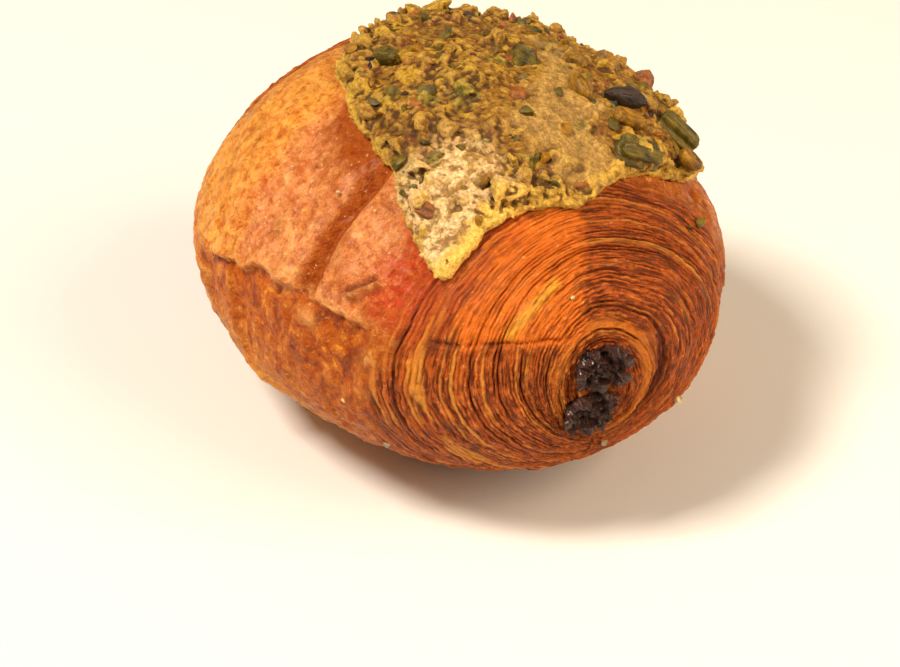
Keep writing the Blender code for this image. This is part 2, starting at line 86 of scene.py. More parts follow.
# Layers, by their ring: the share of the roll's full section that they enclose
RING_SPAN = (0.20, 0.82)
RING_ANGLE = 60.0
RING_OFFSETS = ((0.20, 0.45, 0.11, 0.02), (0.45, 0.82, -0.08, 0.0))
SPIRAL_TURNS = 5.0
LAYER_EDGE = (0.0295, 0.0060, 163.0, 55.0)
FAR_SWELL = 200.0
NEAR_SIDE = 190.0
LAYER_FADE = (-0.0034, 0.0012)
PALE_RING = 0.53
CORE_RIM = 0.262
# Crevice beside the core: a dent, which the material also paints dark as shade
CORE_CREVICE = (0.318, -22.0)
# Edges of a painted patch of sunlight on the near end's layers
SUNLIT_PATCH_LEFT = (0.0325, 0.000175)
SUNLIT_PATCH_RIGHT = (0.0029, 0.475)
SUNLIT_PATCH_LOW = 0.0380
# A painted highlight streak along one layer edge, with a slight rise
HIGHLIGHT_STREAK = ((0.0450, -0.0129, 0.0396), (0.0445, -0.0094, 0.0424), (0.0434, -0.0046, 0.0452))
STREAK_WIDTH = 0.00085
STREAK_RISE = 0.0002
# A crack along the lower edge of the painted sunlit patch: a dent, which the material also paints dark as
# shade
CRACK = ((0.0391, -0.0233, 0.0377), (0.0426, -0.0191, 0.0379), (0.0450, -0.0145, 0.0384),
         (0.0478, -0.0060, 0.0383))
CRACK_WIDTH = 0.00035
CRACK_DEPTH = 0.0007
CORE_RIM_RISE = 0.0005
CORE_CREVICE_DEPTH = 0.0015
SCALE_RISE = 0.00022
SWELL_RISE = 0.00020

# Relief of the baked skin
GROOVE_X = 0.0123
GROOVE_ANGLE = 110.0
GROOVE_DRIFT = 0.000135
GROOVE_HALF_WIDTH = 0.0024
GROOVE_DEPTH = 0.0016
GROOVE_ENDS = ((22.0, 34.0), (156.0, 162.0))
CREASE_X = -0.0050
CREASE_ANGLE = 117.0
CREASE_DRIFT = 0.000105
CREASE_STEP = 0.0010
CREASE_BAND = ((-0.030, -0.018), (0.011, 0.020))
KNOBS = (
    (0.0133, 158.0, 0.0021, 0.0010), (0.0114, 152.0, 0.0013, 0.0007), (0.0086, 159.0, 0.0016, 0.0007),
    (0.0070, 147.0, 0.0012, 0.0006), (0.0205, 165.0, 0.0018, 0.0006),
)
FLAPS = ((165.0, -0.012, 0.033, 1), (14.0, -0.024, 0.012, -1))
FLAP_LEAN = 290.0
FLAP_STEP = 0.0013
FLAP_RUN_IN = 0.004
FLAP_FADE = (14.0, 40.0)
LIP_RISE = 0.0003
FLAKE_PLACE = (0.0272, 147.5)
FLAKE_HALF_WIDTH = 0.00075
FLAKE_RISE = 0.00200
FLAKE_SHADE_DEPTH = 0.0007
UNEVENNESS = 0.0011
UNEVEN_SPACING = 0.017
WRINKLE_RISE = 0.00024
SWELLING_RISE = 0.00045
BLISTER_RISE = 0.00050
PIT_DEPTH = 0.00034
FLANK_FOLD_RISE = 0.00030
BARE_SHARE = 1.12

# Chocolate sticks
STICK_HEIGHTS = {"upper": 0.0328, "lower": 0.0252}
STICK_SIDES = {"upper": 0.0006, "lower": -0.0011}
STICK_WIDTH = 0.0078
STICK_THICKNESS = 0.0060
STICK_PROUD = 0.0003
STICK_WANDER = 0.0005
STICK_WAVE = 0.016
STICK_CORNER = 0.7
STICK_END = 0.004
STICK_END_ROWS = 26
STICK_ROWS = 42
STICK_COLUMNS = 96
BLISTER_REACH = (0.0035, 0.0002)
CHANNEL_OVERRUN = 0.008
CHANNEL_ROWS = 28
CHANNEL_COLUMNS = 40
GAP = 0.0003

# Topping, laid out on the skin by X and by the angle round the roll
ARC_PER_DEGREE = 0.00065
CRUST_CENTRE = (0.006, 78.0)
CRUST_OUTLINE = (
    (0.0344, 132), (0.0229, 126), (0.0151, 121), (0.0021, 119), (-0.0086, 115), (-0.0165, 110),
    (-0.0235, 100), (-0.0270, 84), (-0.0235, 62), (-0.0140, 44), (-0.0010, 33), (0.0120, 28),
    (0.0222, 33), (0.0265, 50), (0.0292, 64), (0.0340, 80), (0.0335, 95), (0.0330, 110), (0.0347, 123),
)
CRUST_THICKNESS = 0.00295
CRUST_WAVES = 0.0011
CRUST_RIM = 0.0010
CRUST_CLEARANCE = 0.00012
CRUST_ROWS = (56, 26)
CRUST_COLUMNS = 201
CRAG_RISE = 0.00034
CRUMB_RISE = 0.00030
GRIT_RISE = 0.00015
CREAM_FOLD_RISE = 0.00050
CREAM_GRIT_RISE = 0.00008
SUGAR_HOLE_DEPTH = 0.00070
HOLLOW_DEPTHS = (0.00016, 0.00055)
HOLLOW_ROUNDS = (7, 24)
HEAP_PLACE = (0.011, 50.0)
HEAP_REACH = 0.015
HEAP_RISE = 0.0014
SMOOTH_STRIP = (
    (-0.001, 67.0, 0.0022), (0.005, 68.0, 0.0026), (0.011, 70.0, 0.0032), (0.017, 73.0, 0.0046),
    (0.022, 82.0, 0.0050), (0.028, 76.0, 0.0054),
)
DRIP = ((0.015, 0.023), (95.0, 106.0))
LUMP_SIZES = (0.0012, 0.0056)
RIM_LUMPS = 110
RIM_LUMP_SIZES = (0.0010, 0.0021)
CHUNK_SEEDS = range(40, 48)
CRUMB_SEEDS = range(60, 64)

# Chopped bits: name, count, sizes, setting that holds the colour, record slot
CHOPPED_BITS = (
    ("yellow", 70, (0.0011, 0.0030), "yellow", "yellow_nut"),
    ("green", 60, (0.0013, 0.0036), "green", "green_nut"),
    ("toasted", 34, (0.0011, 0.0026), "brown", "brown_nut"),
    ("skinned", 22, (0.0012, 0.0030), "dark", "dark_nut"),
)

# Nut pieces: X, angle round the roll, length, width, height, turn from X towards +Y, shape
NUTS = {
    "pistachio_yellow_kernel": (0.0131, 67.5, 0.0064, 0.0034, 0.0036, 5.0, "kernel"),
    "pistachio_dark_skinned": (0.0148, 57.0, 0.0088, 0.0032, 0.0036, 95.0, "kernel"),
    "pistachio_yellow_half": (0.0202, 59.0, 0.0060, 0.0034, 0.0036, 80.0, "half"),
    "pistachio_olive_ribbed": (0.0262, 59.0, 0.0086, 0.0044, 0.0040, 92.0, "ribbed"),
    "pistachio_dark_green": (0.0176, 42.0, 0.0080, 0.0034, 0.0036, 60.0, "ribbed"),
    "pistachio_gold_tip": (0.0238, 41.5, 0.0044, 0.0032, 0.0032, 70.0, "half"),
    "pistachio_bright_green": (-0.0043, 105.0, 0.0044, 0.0030, 0.0034, 20.0, "half"),
    "pistachio_green_shard": (0.0040, 75.0, 0.0076, 0.0030, 0.0040, 20.0, "shard"),
    "pistachio_small_yellow": (0.0060, 64.0, 0.0044, 0.0034, 0.0032, 60.0, "block"),
    "pistachio_brown_lump": (0.0128, 83.5, 0.0052, 0.0044, 0.0034, 0.0, "block"),
    "pistachio_red_chunk": (0.0260, 122.5, 0.0040, 0.0032, 0.0028, 10.0, "block"),
    "pistachio_tan_block": (0.0008, 51.0, 0.0058, 0.0042, 0.0042, 0.0, "block"),
    "pistachio_brown_block": (0.0010, 40.0, 0.0058, 0.0044, 0.0042, 0.0, "block"),
}
NUT_FINISHES = {
    "pistachio_dark_skinned": "dark_nut",
    "pistachio_olive_ribbed": "green_nut",
    "pistachio_dark_green": "green_nut",
    "pistachio_bright_green": "green_nut",
    "pistachio_green_shard": "green_nut",
    "pistachio_brown_lump": "brown_nut",
    "pistachio_red_chunk": "brown_nut",
    "pistachio_brown_block": "brown_nut",
}

# Crumbs on the dough: X, angle round the roll, size
CRUMBS = {
    "green": ((0.0304, 31.0, 0.0023), (0.0330, 36.0, 0.0012)),
    "pale": (
        (0.0426, 323.0, 0.0020), (0.0317, 212.0, 0.0018), (0.0476, 282.0, 0.0014), (-0.0043, 164.0, 0.0012),
        (0.0457, 101.0, 0.0010), (0.0118, 133.0, 0.0008), (0.0290, 190.0, 0.0010), (0.0390, 300.0, 0.0011),
    ),
}

# Colours beside those that the settings hold
TINTS = {
    # The first tint here is a painted highlight on the skin; mauve and blotch are its own colours
    "skin_highlight": (0.96, 0.49, 0.14), "mauve": (0.58, 0.205, 0.085), "blotch": (0.66, 0.19, 0.018),
    "groove": (0.40, 0.078, 0.001), "flank": (0.53, 0.112, 0.005), "flank_stain": (0.24, 0.045, 0.012),
    "flank_light": (0.86, 0.31, 0.022), "red": (0.60, 0.064, 0.014), "sparkle": (1.0, 0.66, 0.36),
    # The lip tint is a painted highlight on raised lips, the flake and the knobs; the pale specks beside it
    # are partly painted glints
    "lip": (0.90, 0.45, 0.14), "pale_speck_and_glint": (0.90, 0.55, 0.25),
    # Painted highlights and glints on the crests of the layer edges
    "crest_highlight": (0.76, 0.235, 0.042), "deep_crest_highlight": (0.62, 0.155, 0.018), "crest_glint": (0.85, 0.40, 0.16),
    "pale_layer": (0.78, 0.29, 0.035), "core_rim": (0.80, 0.23, 0.016), "red_layer": (0.62, 0.095, 0.020),
    # A painted patch of sunlight on the layers and the painted glints in it, then a painted highlight streak
    "glaze": (0.90, 0.20, 0.012), "glint": (0.95, 0.52, 0.16), "gleam": (0.98, 0.52, 0.050),
    # The last tint here is painted shade in the chocolate's craters
    "ash": (0.20, 0.080, 0.050), "warm_chocolate": (0.080, 0.020, 0.008), "crater_shade": (0.006, 0.004, 0.004),
    "grain": (0.43, 0.225, 0.030), "moss": (0.20, 0.135, 0.006), "yellow_lump": (0.44, 0.245, 0.012),
    "green_lump": (0.17, 0.145, 0.010), "pale_cream": (0.62, 0.42, 0.17), "crust_rim": (0.74, 0.44, 0.050),
    # The two crevice tints are painted shade in the crust's hollows; the crest tint after them is a painted
    # highlight
    "sunny_rim": (0.97, 0.60, 0.110), "crevice_shade": (0.075, 0.028, 0.003), "pale_crevice_shade": (0.22, 0.120, 0.020),
    "crest": (0.60, 0.37, 0.065), "dark_speck": (0.09, 0.034, 0.006), "nut_speck": (0.10, 0.04, 0.01),
}
DOUGH_SHADES = ((0.80, 0.56, 0.34), (1.10, 1.12, 1.12))
CRUST_SHADES = ((0.76, 0.68, 0.53), (1.30, 1.33, 1.36))

# Lights: shares of the camera's right, of straight up and of the camera's back, distance, size, colour
LIGHTS = {
    "key": ((-0.75, 1.10, 0.45), 0.9, 0.24, (1.0, 0.90, 0.76)),
    "fill": ((1.0, 0.45, 0.55), 1.0, 0.7, (1.0, 0.80, 0.56)),
}
SKY_COLOUR = (1.0, 0.89, 0.74, 1.0)

# Camera
CAMERA_AZIMUTH = 64.36
CAMERA_ELEVATION = 31.32
CAMERA_DISTANCE = 0.450
CAMERA_AIM = (MIDDLE[0], MIDDLE[1], 0.02986)
CAMERA_LENS = 109.3
CAMERA_SHIFT = (-0.0079, -0.1164)


# Sizes and colours

class DoughSettings(bpy.types.PropertyGroup):
    """Layers, skin and colours of the baked dough."""
    layers: IntProperty(name="Layers", description="Layer edges across each end", default=50, min=8, max=60)
    layer_height: FloatProperty(
        name="Layer Height", description="Height of a layer's edge over the cut beside it",
        default=0.00034, unit="LENGTH", precision=5)
    cut_depth: FloatProperty(
        name="Cut Depth", description="Depth of the widest gaps between layers",
        default=0.00042, unit="LENGTH", precision=5)
    golden: FloatVectorProperty(
        name="Golden", description="Lightly baked skin", default=(0.92, 0.395, 0.060), subtype="COLOR")
    amber: FloatVectorProperty(
        name="Amber", description="Well baked skin", default=(0.54, 0.145, 0.012), subtype="COLOR")
    # Rose: the egg-washed band, its pink tint partly painted sheen
    rose: FloatVectorProperty(
        name="Rose", description="Glazed skin on the shoulder", default=(0.84, 0.325, 0.130), subtype="COLOR")
    brown: FloatVectorProperty(
        name="Brown", description="Edges of the layers", default=(0.50, 0.092, 0.006), subtype="COLOR")
    # Dark: painted shade in the gaps between layers, the core's crevice, the crack and the skin's pits
    dark: FloatVectorProperty(
        name="Dark", description="Gaps between the layers", default=(0.115, 0.016, 0.002), subtype="COLOR")


class ChocolateSettings(bpy.types.PropertyGroup):
    """Chocolate sticks."""
    blister: FloatProperty(
        name="Blisters", description="Height of the burnt lumps at a stick's end",
        default=0.0019, unit="LENGTH", precision=5)
    colour: FloatVectorProperty(
        name="Chocolate", description="Burnt chocolate", default=(0.036, 0.0095, 0.0055), subtype="COLOR")


class CrustSettings(bpy.types.PropertyGroup):
    """Baked pistachio crust and its chopped bits."""
    grain: FloatProperty(
        name="Grain", description="Edge of one cell of the crust's mesh", default=0.00034, unit="LENGTH",
        precision=5)
    lumps: IntProperty(name="Lumps", description="Nut lumps under the crust's surface", default=330)
    cream: FloatVectorProperty(
        name="Cream", description="Smooth baked cream", default=(0.46, 0.265, 0.070), subtype="COLOR")
    olive: FloatVectorProperty(
        name="Olive", description="Crust stained by ground pistachio", default=(0.235, 0.102, 0.002),
        subtype="COLOR")
    toasted: FloatVectorProperty(
        name="Toasted", description="Toasted spots of the crust", default=(0.19, 0.060, 0.004),
        subtype="COLOR")
    pale: FloatVectorProperty(
        name="Pale", description="Sugary corner that ran down", default=(0.80, 0.54, 0.27), subtype="COLOR")


class NutSettings(bpy.types.PropertyGroup):
    """Pistachio pieces."""
    yellow: FloatVectorProperty(
        name="Yellow", description="Toasted kernel", default=(0.29, 0.130, 0.002), subtype="COLOR")
    green: FloatVectorProperty(
        name="Green", description="Green kernel", default=(0.130, 0.088, 0.003), subtype="COLOR")
    dark: FloatVectorProperty(
        name="Dark", description="Kernel in its skin", default=(0.034, 0.015, 0.008), subtype="COLOR")
    brown: FloatVectorProperty(
        name="Brown", description="Deeply toasted kernel", default=(0.29, 0.085, 0.010), subtype="COLOR")


class StageSettings(bpy.types.PropertyGroup):
    """Floor and light."""
    floor: FloatVectorProperty(
        name="Floor", description="Matt pale floor", default=(0.80, 0.79, 0.77), subtype="COLOR")
    key: FloatProperty(name="Key", description="Strength of the main light", default=10.0, unit="POWER")
    fill: FloatProperty(name="Fill", description="Strength of the light from the other side", default=9.8,
                        unit="POWER")
    sky: FloatProperty(name="Sky", description="Strength of the light all round", default=0.25)


# Shapes and noise

def smooth_step(low, high, value):
    """Zero below low, one above high, smooth between."""
    share = np.clip((value - low) / (high - low), 0.0, 1.0)
    return share * share * (3.0 - 2.0 * share)


def bell(value, centre, width):
    """One at the centre, falling away on both sides."""
    return np.exp(-(((value - centre) / width) ** 2))


def turned(degrees, middle=90.0):
    """The same angle, at most half a turn from the middle."""
    return (degrees - middle + 180.0) % 360.0 - 180.0 + middle


def bell_round(degrees, middle, width):
    """One at an angle round the roll, falling away on both sides."""
    return bell(turned(degrees, middle), middle, width)


def signed_power(value, power):
    """Power of the size, with the sign kept."""
    return np.sign(value) * np.abs(value) ** power


HASH_SIZE = 4096
HASH_STEPS = np.array((73856093, 19349663, 83492791))
DIRECTIONS = np.random.default_rng(5).normal(size=(HASH_SIZE, 3))
DIRECTIONS /= np.linalg.norm(DIRECTIONS, axis=1)[:, None]
SPOTS = np.random.default_rng(6).random((HASH_SIZE, 4))


def lattice_key(cells, seed):
    """Place in a table for each cell of a lattice."""
    mixed = (cells * HASH_STEPS).astype(np.int64)
    return (mixed[..., 0] ^ mixed[..., 1] ^ (mixed[..., 2] + seed * 7919)) % HASH_SIZE


def rough(points, spacing, seed, octaves=1):
    """Smooth random height at each point, about -1 to 1."""
    total = np.zeros(points.shape[:-1])
    for octave in range(octaves):
        place = points / (spacing / 2**octave) + 31.7
        base = np.floor(place)
        share = place - base
        fade = share**3 * (share * (share * 6.0 - 15.0) + 10.0)
        for corner in itertools.product((0.0, 1.0), repeat=3):
            corner = np.array(corner)
            weight = np.where(corner > 0.5, fade, 1.0 - fade).prod(axis=-1)
            slope = DIRECTIONS[lattice_key(base + corner, seed + octave)]
            total += 0.5**octave * 1.6 * weight * ((share - corner) * slope).sum(axis=-1)
    return total


def spots(points, spacing, seed):
    """Distance to the nearest of some scattered spots, in spacings, and a random value of that spot."""
    place = points / spacing + 31.7
    base = np.floor(place)
    nearest = np.full(points.shape[:-1], 9.0)
    value = np.zeros(points.shape[:-1])
    for corner in itertools.product((-1.0, 0.0, 1.0), repeat=3):
        cell = base + np.array(corner)
        entry = SPOTS[lattice_key(cell, seed)]
        distance = np.linalg.norm(cell + entry[..., :3] - place, axis=-1)
        closer = distance < nearest
        nearest = np.where(closer, distance, nearest)
        value = np.where(closer, entry[..., 3], value)
    return nearest, value


def roll_points(tau, degrees):
    """Points of the smooth roll: tau runs from 0 at the +X end to pi at the other."""
    front = np.cos(tau) > 0.0
    length_power = 2.0 / np.where(front, *LENGTH_EXPONENTS)
    radius_exponent = np.where(front, *RADIUS_EXPONENTS)
    side, rise = np.cos(np.radians(degrees)), np.sin(np.radians(degrees))
    section = np.where(rise > 0.0, *SECTION_EXPONENTS)
    share = np.abs(np.sin(tau)) ** (2.0 / radius_exponent)
    core = np.maximum(0.0, np.exp(-((share / CORE_REACH) ** 2)) - math.exp(-((CORE_END / CORE_REACH) ** 2)))
    narrow = 1.0 - CORE_NARROWING * core
    stretch = 1.0 + CORE_STRETCH * core
    half_width = WIDTH / 2 * (1.0 + FRONT_TAPER * np.cos(tau))
    y = share * narrow * half_width * signed_power(side, 2.0 / section)
    z = share * stretch * np.where(rise > 0.0, TOP_RISE, UNDERSIDE_DROP) * signed_power(rise, 2.0 / section)
    spread = (narrow**section * side**2 + stretch**section * rise**2) ** (1.0 / section)
    sine = np.minimum(1.0, (share * spread) ** (radius_exponent / 2.0))
    reach = np.sqrt(1.0 - sine * sine) ** length_power
    x = np.where(front, FRONT_LENGTH, -BACK_LENGTH) * reach
    return np.stack(np.broadcast_arrays(x, y, CENTRE_HEIGHT + z), axis=-1)


def roll_normals(tau, degrees):
    """Outward directions of the smooth roll."""
    step = 0.004
    ahead, behind = np.minimum(tau + step, math.pi), np.maximum(tau - step, 0.0)
    along = roll_points(ahead, degrees) - roll_points(behind, degrees)
    turn = math.degrees(step)
    across = roll_points(tau, degrees + turn) - roll_points(tau, degrees - turn)
    normals = np.cross(along, across)
    sizes = np.linalg.norm(normals, axis=-1)
    points = roll_points(tau, degrees)
    outward = (points - (0.0, 0.0, CENTRE_HEIGHT)) * (0.5, 1.0, 1.0)
    signs = np.sign((normals * outward).sum(axis=-1))
    ends = np.zeros_like(points)
    ends[..., 0] = np.sign(points[..., 0])
    flat = sizes < 1e-12
    unit = normals / np.where(flat, 1.0, sizes)[..., None] * signs[..., None]
    return np.where(flat[..., None], ends, unit)


def tau_at(x):
    """Value of tau where the roll's full section stands at x."""
    x = np.asarray(x, float)
    exponent = np.where(x > 0.0, *LENGTH_EXPONENTS)
    length = np.where(x > 0.0, FRONT_LENGTH, BACK_LENGTH)
    return np.arccos(np.sign(x) * np.minimum(1.0, np.abs(x) / length) ** (exponent / 2.0))


def section_share(tau):
    """Share of the full section that the section at tau is."""
    return np.abs(np.sin(tau)) ** (2.0 / np.where(np.cos(tau) > 0.0, *RADIUS_EXPONENTS))


def skin_frames(x, degrees):
    """Points on the smooth roll, with directions along X, towards +Y round the roll, and outward."""
    tau = tau_at(x)
    points, outward = roll_points(tau, degrees), roll_normals(tau, degrees)
    along = roll_points(tau_at(x + GAP), degrees) - roll_points(tau_at(x - GAP), degrees)
    along = along - outward * (along * outward).sum(axis=-1)[..., None]
    along = along / np.linalg.norm(along, axis=-1)[..., None]
    return points, along, np.cross(outward, along), outward


def topping_plane(x, degrees):
    """X and arc length on the skin, where the topping is laid out."""
    x, degrees = np.broadcast_arrays(np.asarray(x, float), np.asarray(degrees, float))
    return np.stack((x, (90.0 - degrees) * ARC_PER_DEGREE), axis=-1)


def outline_table(samples_per_span=12):
    """Direction and reach of a smooth curve through the outline points, seen from the crust's centre."""
    knots = [topping_plane(x, degrees) for x, degrees in CRUST_OUTLINE]
    curve = []
    for index in range(len(knots)):
        a, b, c, d = (knots[(index + shift - 1) % len(knots)] for shift in range(4))
        for step in range(samples_per_span):
            t = step / samples_per_span
            curve.append(0.5 * (2 * b + (c - a) * t + (2 * a - 5 * b + 4 * c - d) * t**2
                                + (3 * b - a - 3 * c + d) * t**3))
    offsets = np.array(curve) - topping_plane(*CRUST_CENTRE)
    directions = np.arctan2(offsets[:, 1], offsets[:, 0])
    order = np.argsort(directions)
    return directions[order], np.linalg.norm(offsets, axis=1)[order]


OUTLINE = outline_table()


def outline_reach(directions):
    """Distance from the crust's centre to its edge in each direction."""
    return np.interp(directions, *OUTLINE, period=2 * math.pi)


def cover_share(x, degrees):
    """Place inside the topping: 0 at its centre, 1 at its edge, more outside."""
    offsets = topping_plane(x, turned(degrees)) - topping_plane(*CRUST_CENTRE)
    reach = outline_reach(np.arctan2(offsets[..., 1], offsets[..., 0]))
    return np.linalg.norm(offsets, axis=-1) / reach


# Mesh helpers

def deselect():
    """Leave nothing selected, in object mode."""
    bpy.ops.object.select_all(action="DESELECT")


def activate(piece):
    """Select one piece alone and make it the active one."""
    deselect()
    piece.select_set(True)
    bpy.context.view_layer.objects.active = piece


def in_edit_mode(piece, *steps):
    """Run some edit mode steps on the whole of one piece."""
    activate(piece)
    bpy.ops.object.mode_set(mode="EDIT")
    bpy.ops.mesh.select_all(action="SELECT")
    for step in steps:
        step()
    bpy.ops.object.mode_set(mode="OBJECT")


def merge_doubles():
    """Merge points that coincide."""
    bpy.ops.mesh.remove_doubles(threshold=1e-7)


def face_outward():
    """Turn all faces outward."""
    bpy.ops.mesh.normals_make_consistent(inside=False)


def coordinates(piece):
    """Places of a piece's points."""
    places = np.empty(len(piece.data.vertices) * 3)
    piece.data.vertices.foreach_get("co", places)
    return places.reshape(-1, 3)


def move_points(piece, places):
    """Put a piece's points at new places."""
    piece.data.vertices.foreach_set("co", np.ascontiguousarray(places, dtype=np.float32).ravel())
    piece.data.update()


def point_normals(piece):
    """Outward directions at a piece's points."""
    normals = np.empty(len(piece.data.vertices) * 3)
    piece.data.vertices.foreach_get("normal", normals)
    return normals.reshape(-1, 3)


def store(piece, name, values):
    """Keep one value or vector for each point, for the material."""
    vector = values.ndim == 2
    layer = piece.data.attributes.new(name, "FLOAT_VECTOR" if vector else "FLOAT", "POINT")
    flat = np.ascontiguousarray(values, dtype=np.float32).ravel()
    layer.data.foreach_set("vector" if vector else "value", flat)


def wrapped_grid(name, points, fields):
    """Closed skin: a grid wrapped over rows and columns of points, its seam and both poles merged."""
    rows, columns = points.shape[:2]
    deselect()
    bpy.ops.mesh.primitive_grid_add(x_subdivisions=columns - 1, y_subdivisions=rows - 1, size=2.0)
    piece = bpy.context.object
    piece.name = piece.data.name = name
    flat = coordinates(piece)
    column = np.rint((flat[:, 0] + 1.0) / 2.0 * (columns - 1)).astype(int)
    row = np.rint((flat[:, 1] + 1.0) / 2.0 * (rows - 1)).astype(int)
    move_points(piece, points[row, column])
    for field, values in fields.items():
        store(piece, field, values[row, column])
    in_edit_mode(piece, merge_doubles, face_outward)
    return piece


def apply_modifier(piece, kind, **settings):
    """Add a modifier with its settings and apply it."""
    activate(piece)
    modifier = piece.modifiers.new(kind.lower(), kind)
    for name, value in settings.items():
        setattr(modifier, name, value)
    bpy.ops.object.modifier_apply(modifier=modifier.name)


def cut_away(piece, other):
    """Cut the other piece from one, and remove it."""
    apply_modifier(piece, "BOOLEAN", operation="DIFFERENCE", object=other, solver="MANIFOLD")
    bpy.data.objects.remove(other, do_unlink=True)


def smooth_shading(piece, degrees=50.0):
    """Smooth shading with the sharper folds kept."""
    activate(piece)
    bpy.ops.object.shade_smooth_by_angle(angle=math.radians(degrees))


def settle(piece, material, slot, *nodes):
    """Finish a piece: its material, its body and the solids that it stands for. The record slot that it is
    given is not used.
    """
    piece.data.materials.clear()
    piece.data.materials.append(material)
    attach(piece, "root")
    if nodes:
        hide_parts(*nodes)


# Node helpers

def add_node(tree, kind, links=None, values=None, **settings):
    """New node with its settings, plain input values and incoming links."""
    made = tree.nodes.new(kind)
    for name, value in settings.items():
        setattr(made, name, value)
    for name, value in (values or {}).items():
        made.inputs[name].default_value = value
    for name, source in (links or {}).items():
        tree.links.new(source, made.inputs[name])
    return made


def field_value(tree, name, kind="Fac"):
    """Value or vector kept in the mesh under a name."""
    return add_node(tree, "ShaderNodeAttribute", attribute_name=name).outputs[kind]


def math_node(tree, operation, first, second=0.0, clamp=False):
    """Result of one sum, with sockets or numbers going in."""
    made = add_node(tree, "ShaderNodeMath", operation=operation, use_clamp=clamp)
    for index, item in enumerate((first, second)):
        if isinstance(item, (int, float)):
            made.inputs[index].default_value = item
        else:
            tree.links.new(item, made.inputs[index])
    return made.outputs[0]


def product(tree, first, *others):
    """Result of multiplying sockets or numbers."""
    for other in others:
        first = math_node(tree, "MULTIPLY", first, other)
    return first


def spread(tree, value, low, high, new_low=0.0, new_high=1.0):
    """Value moved from one range to another, smooth at both ends."""
    made = add_node(tree, "ShaderNodeMapRange", {"Value": value}, interpolation_type="SMOOTHSTEP")
    for name, number in (("From Min", low), ("From Max", high), ("To Min", new_low), ("To Max", new_high)):
        made.inputs[name].default_value = number
    return made.outputs["Result"]


def blend(tree, share, first, second, mode="MIX"):
    """Mixed colour, with sockets or colours going in."""
    made = add_node(tree, "ShaderNodeMix", data_type="RGBA", blend_type=mode, clamp_factor=True)
    for socket, item in ((made.inputs[0], share), (made.inputs[6], first), (made.inputs[7], second)):
        if isinstance(item, (int, float)):
            socket.default_value = item
        elif isinstance(item, bpy.types.NodeSocket):
            tree.links.new(item, socket)
        else:
            socket.default_value = (*item, 1.0)
    return made.outputs[2]


def tint(tree, base, *rows):
    """Lay colours over a base, one after another.

    A row holds the colour and what its share is the product of: sockets, numbers, or values to spread.
    """
    for colour, *factors in rows:
        shares = [spread(tree, *factor) if isinstance(factor, tuple) else factor for factor in factors]
        base = blend(tree, product(tree, *shares), base, colour)
    return base


def shaded(tree, base, value, low, high, shades):
    """Colour multiplied by a tone between the darker and the lighter shade."""
    return blend(tree, 1.0, base, blend(tree, spread(tree, value, low, high), *shades), "MULTIPLY")


def dimmed(colour, share):
    """Darker colour."""
    return tuple(share * part for part in colour)


def cloud(tree, vector, scale, detail=3.0, roughness=0.55, distortion=0.0):
    """Noise value at a vector."""
    values = {"Scale": scale, "Detail": detail, "Roughness": roughness, "Distortion": distortion}
    return add_node(tree, "ShaderNodeTexNoise", {"Vector": vector}, values).outputs["Fac"]


def new_material(name, roughness, coat=0.0, coat_roughness=0.2, specular=0.5):
    """Empty material with its shader, and its coordinates."""
    material = bpy.data.materials.new(name)
    material.use_nodes = True
    tree = material.node_tree
    shader = tree.nodes["Principled BSDF"]
    shader.inputs["Roughness"].default_value = roughness
    shader.inputs["Coat Weight"].default_value = coat
    shader.inputs["Coat Roughness"].default_value = coat_roughness
    shader.inputs["Specular IOR Level"].default_value = specular
    place = add_node(tree, "ShaderNodeTexCoord").outputs["Object"]
    return material, tree, shader, place


def wire(tree, shader, colour, roughness, height, distance, strength=1.0):
    """Link the colour, the roughness and the relief that is too fine for the mesh to the shader."""
    values = {"Distance": distance, "Strength": strength}
    normal = add_node(tree, "ShaderNodeBump", {"Height": height}, values).outputs["Normal"]
    for socket, name in ((colour, "Base Color"), (roughness, "Roughness"), (normal, "Normal")):
        tree.links.new(socket, shader.inputs[name])


def crumb_grain_group():
    """Shared effect: fine baked grain, as a height and as light and dark specks."""
    name = "Baked Grain"
    if name in bpy.data.node_groups:
        return bpy.data.node_groups[name]
    group = bpy.data.node_groups.new(name, "ShaderNodeTree")
    for label, kind, way in (("Vector", "NodeSocketVector", "INPUT"), ("Scale", "NodeSocketFloat", "INPUT"),
                             ("Height", "NodeSocketFloat", "OUTPUT"), ("Specks", "NodeSocketFloat", "OUTPUT"),
                             ("Mottle", "NodeSocketFloat", "OUTPUT")):
        group.interface.new_socket(label, in_out=way, socket_type=kind)
    entry = add_node(group, "NodeGroupInput")
    scaled = add_node(group, "ShaderNodeVectorMath", operation="SCALE")
    group.links.new(entry.outputs["Vector"], scaled.inputs[0])
    group.links.new(entry.outputs["Scale"], scaled.inputs["Scale"])
    vector = scaled.outputs["Vector"]
    fine = cloud(group, vector, 3.2, 4.0, 0.65)
    coarse = cloud(group, vector, 0.8, 3.0, 0.6)
    height = math_node(group, "ADD", product(group, fine, 0.6), product(group, coarse, 0.4))
    cells = add_node(group, "ShaderNodeTexVoronoi", {"Vector": vector}, {"Scale": 1.4}).outputs["Distance"]
    specks = spread(group, cells, 0.16, 0.06)
    mottle = spread(group, cloud(group, vector, 0.35, 4.0, 0.6, 0.6), 0.36, 0.66)
    leave = add_node(group, "NodeGroupOutput")
    for label, socket in (("Height", height), ("Specks", specks), ("Mottle", mottle)):
        group.links.new(socket, leave.inputs[label])
    return group


def baked_grain(tree, vector, scale):
    """The shared grain in one material."""
    made = add_node(tree, "ShaderNodeGroup", node_tree=crumb_grain_group())
    tree.links.new(vector, made.inputs["Vector"])
    made.inputs["Scale"].default_value = scale
    return made.outputs["Height"], made.outputs["Specks"], made.outputs["Mottle"]


# Dough

RIDGE_TRAITS = np.random.default_rng(17).random((256, 3))


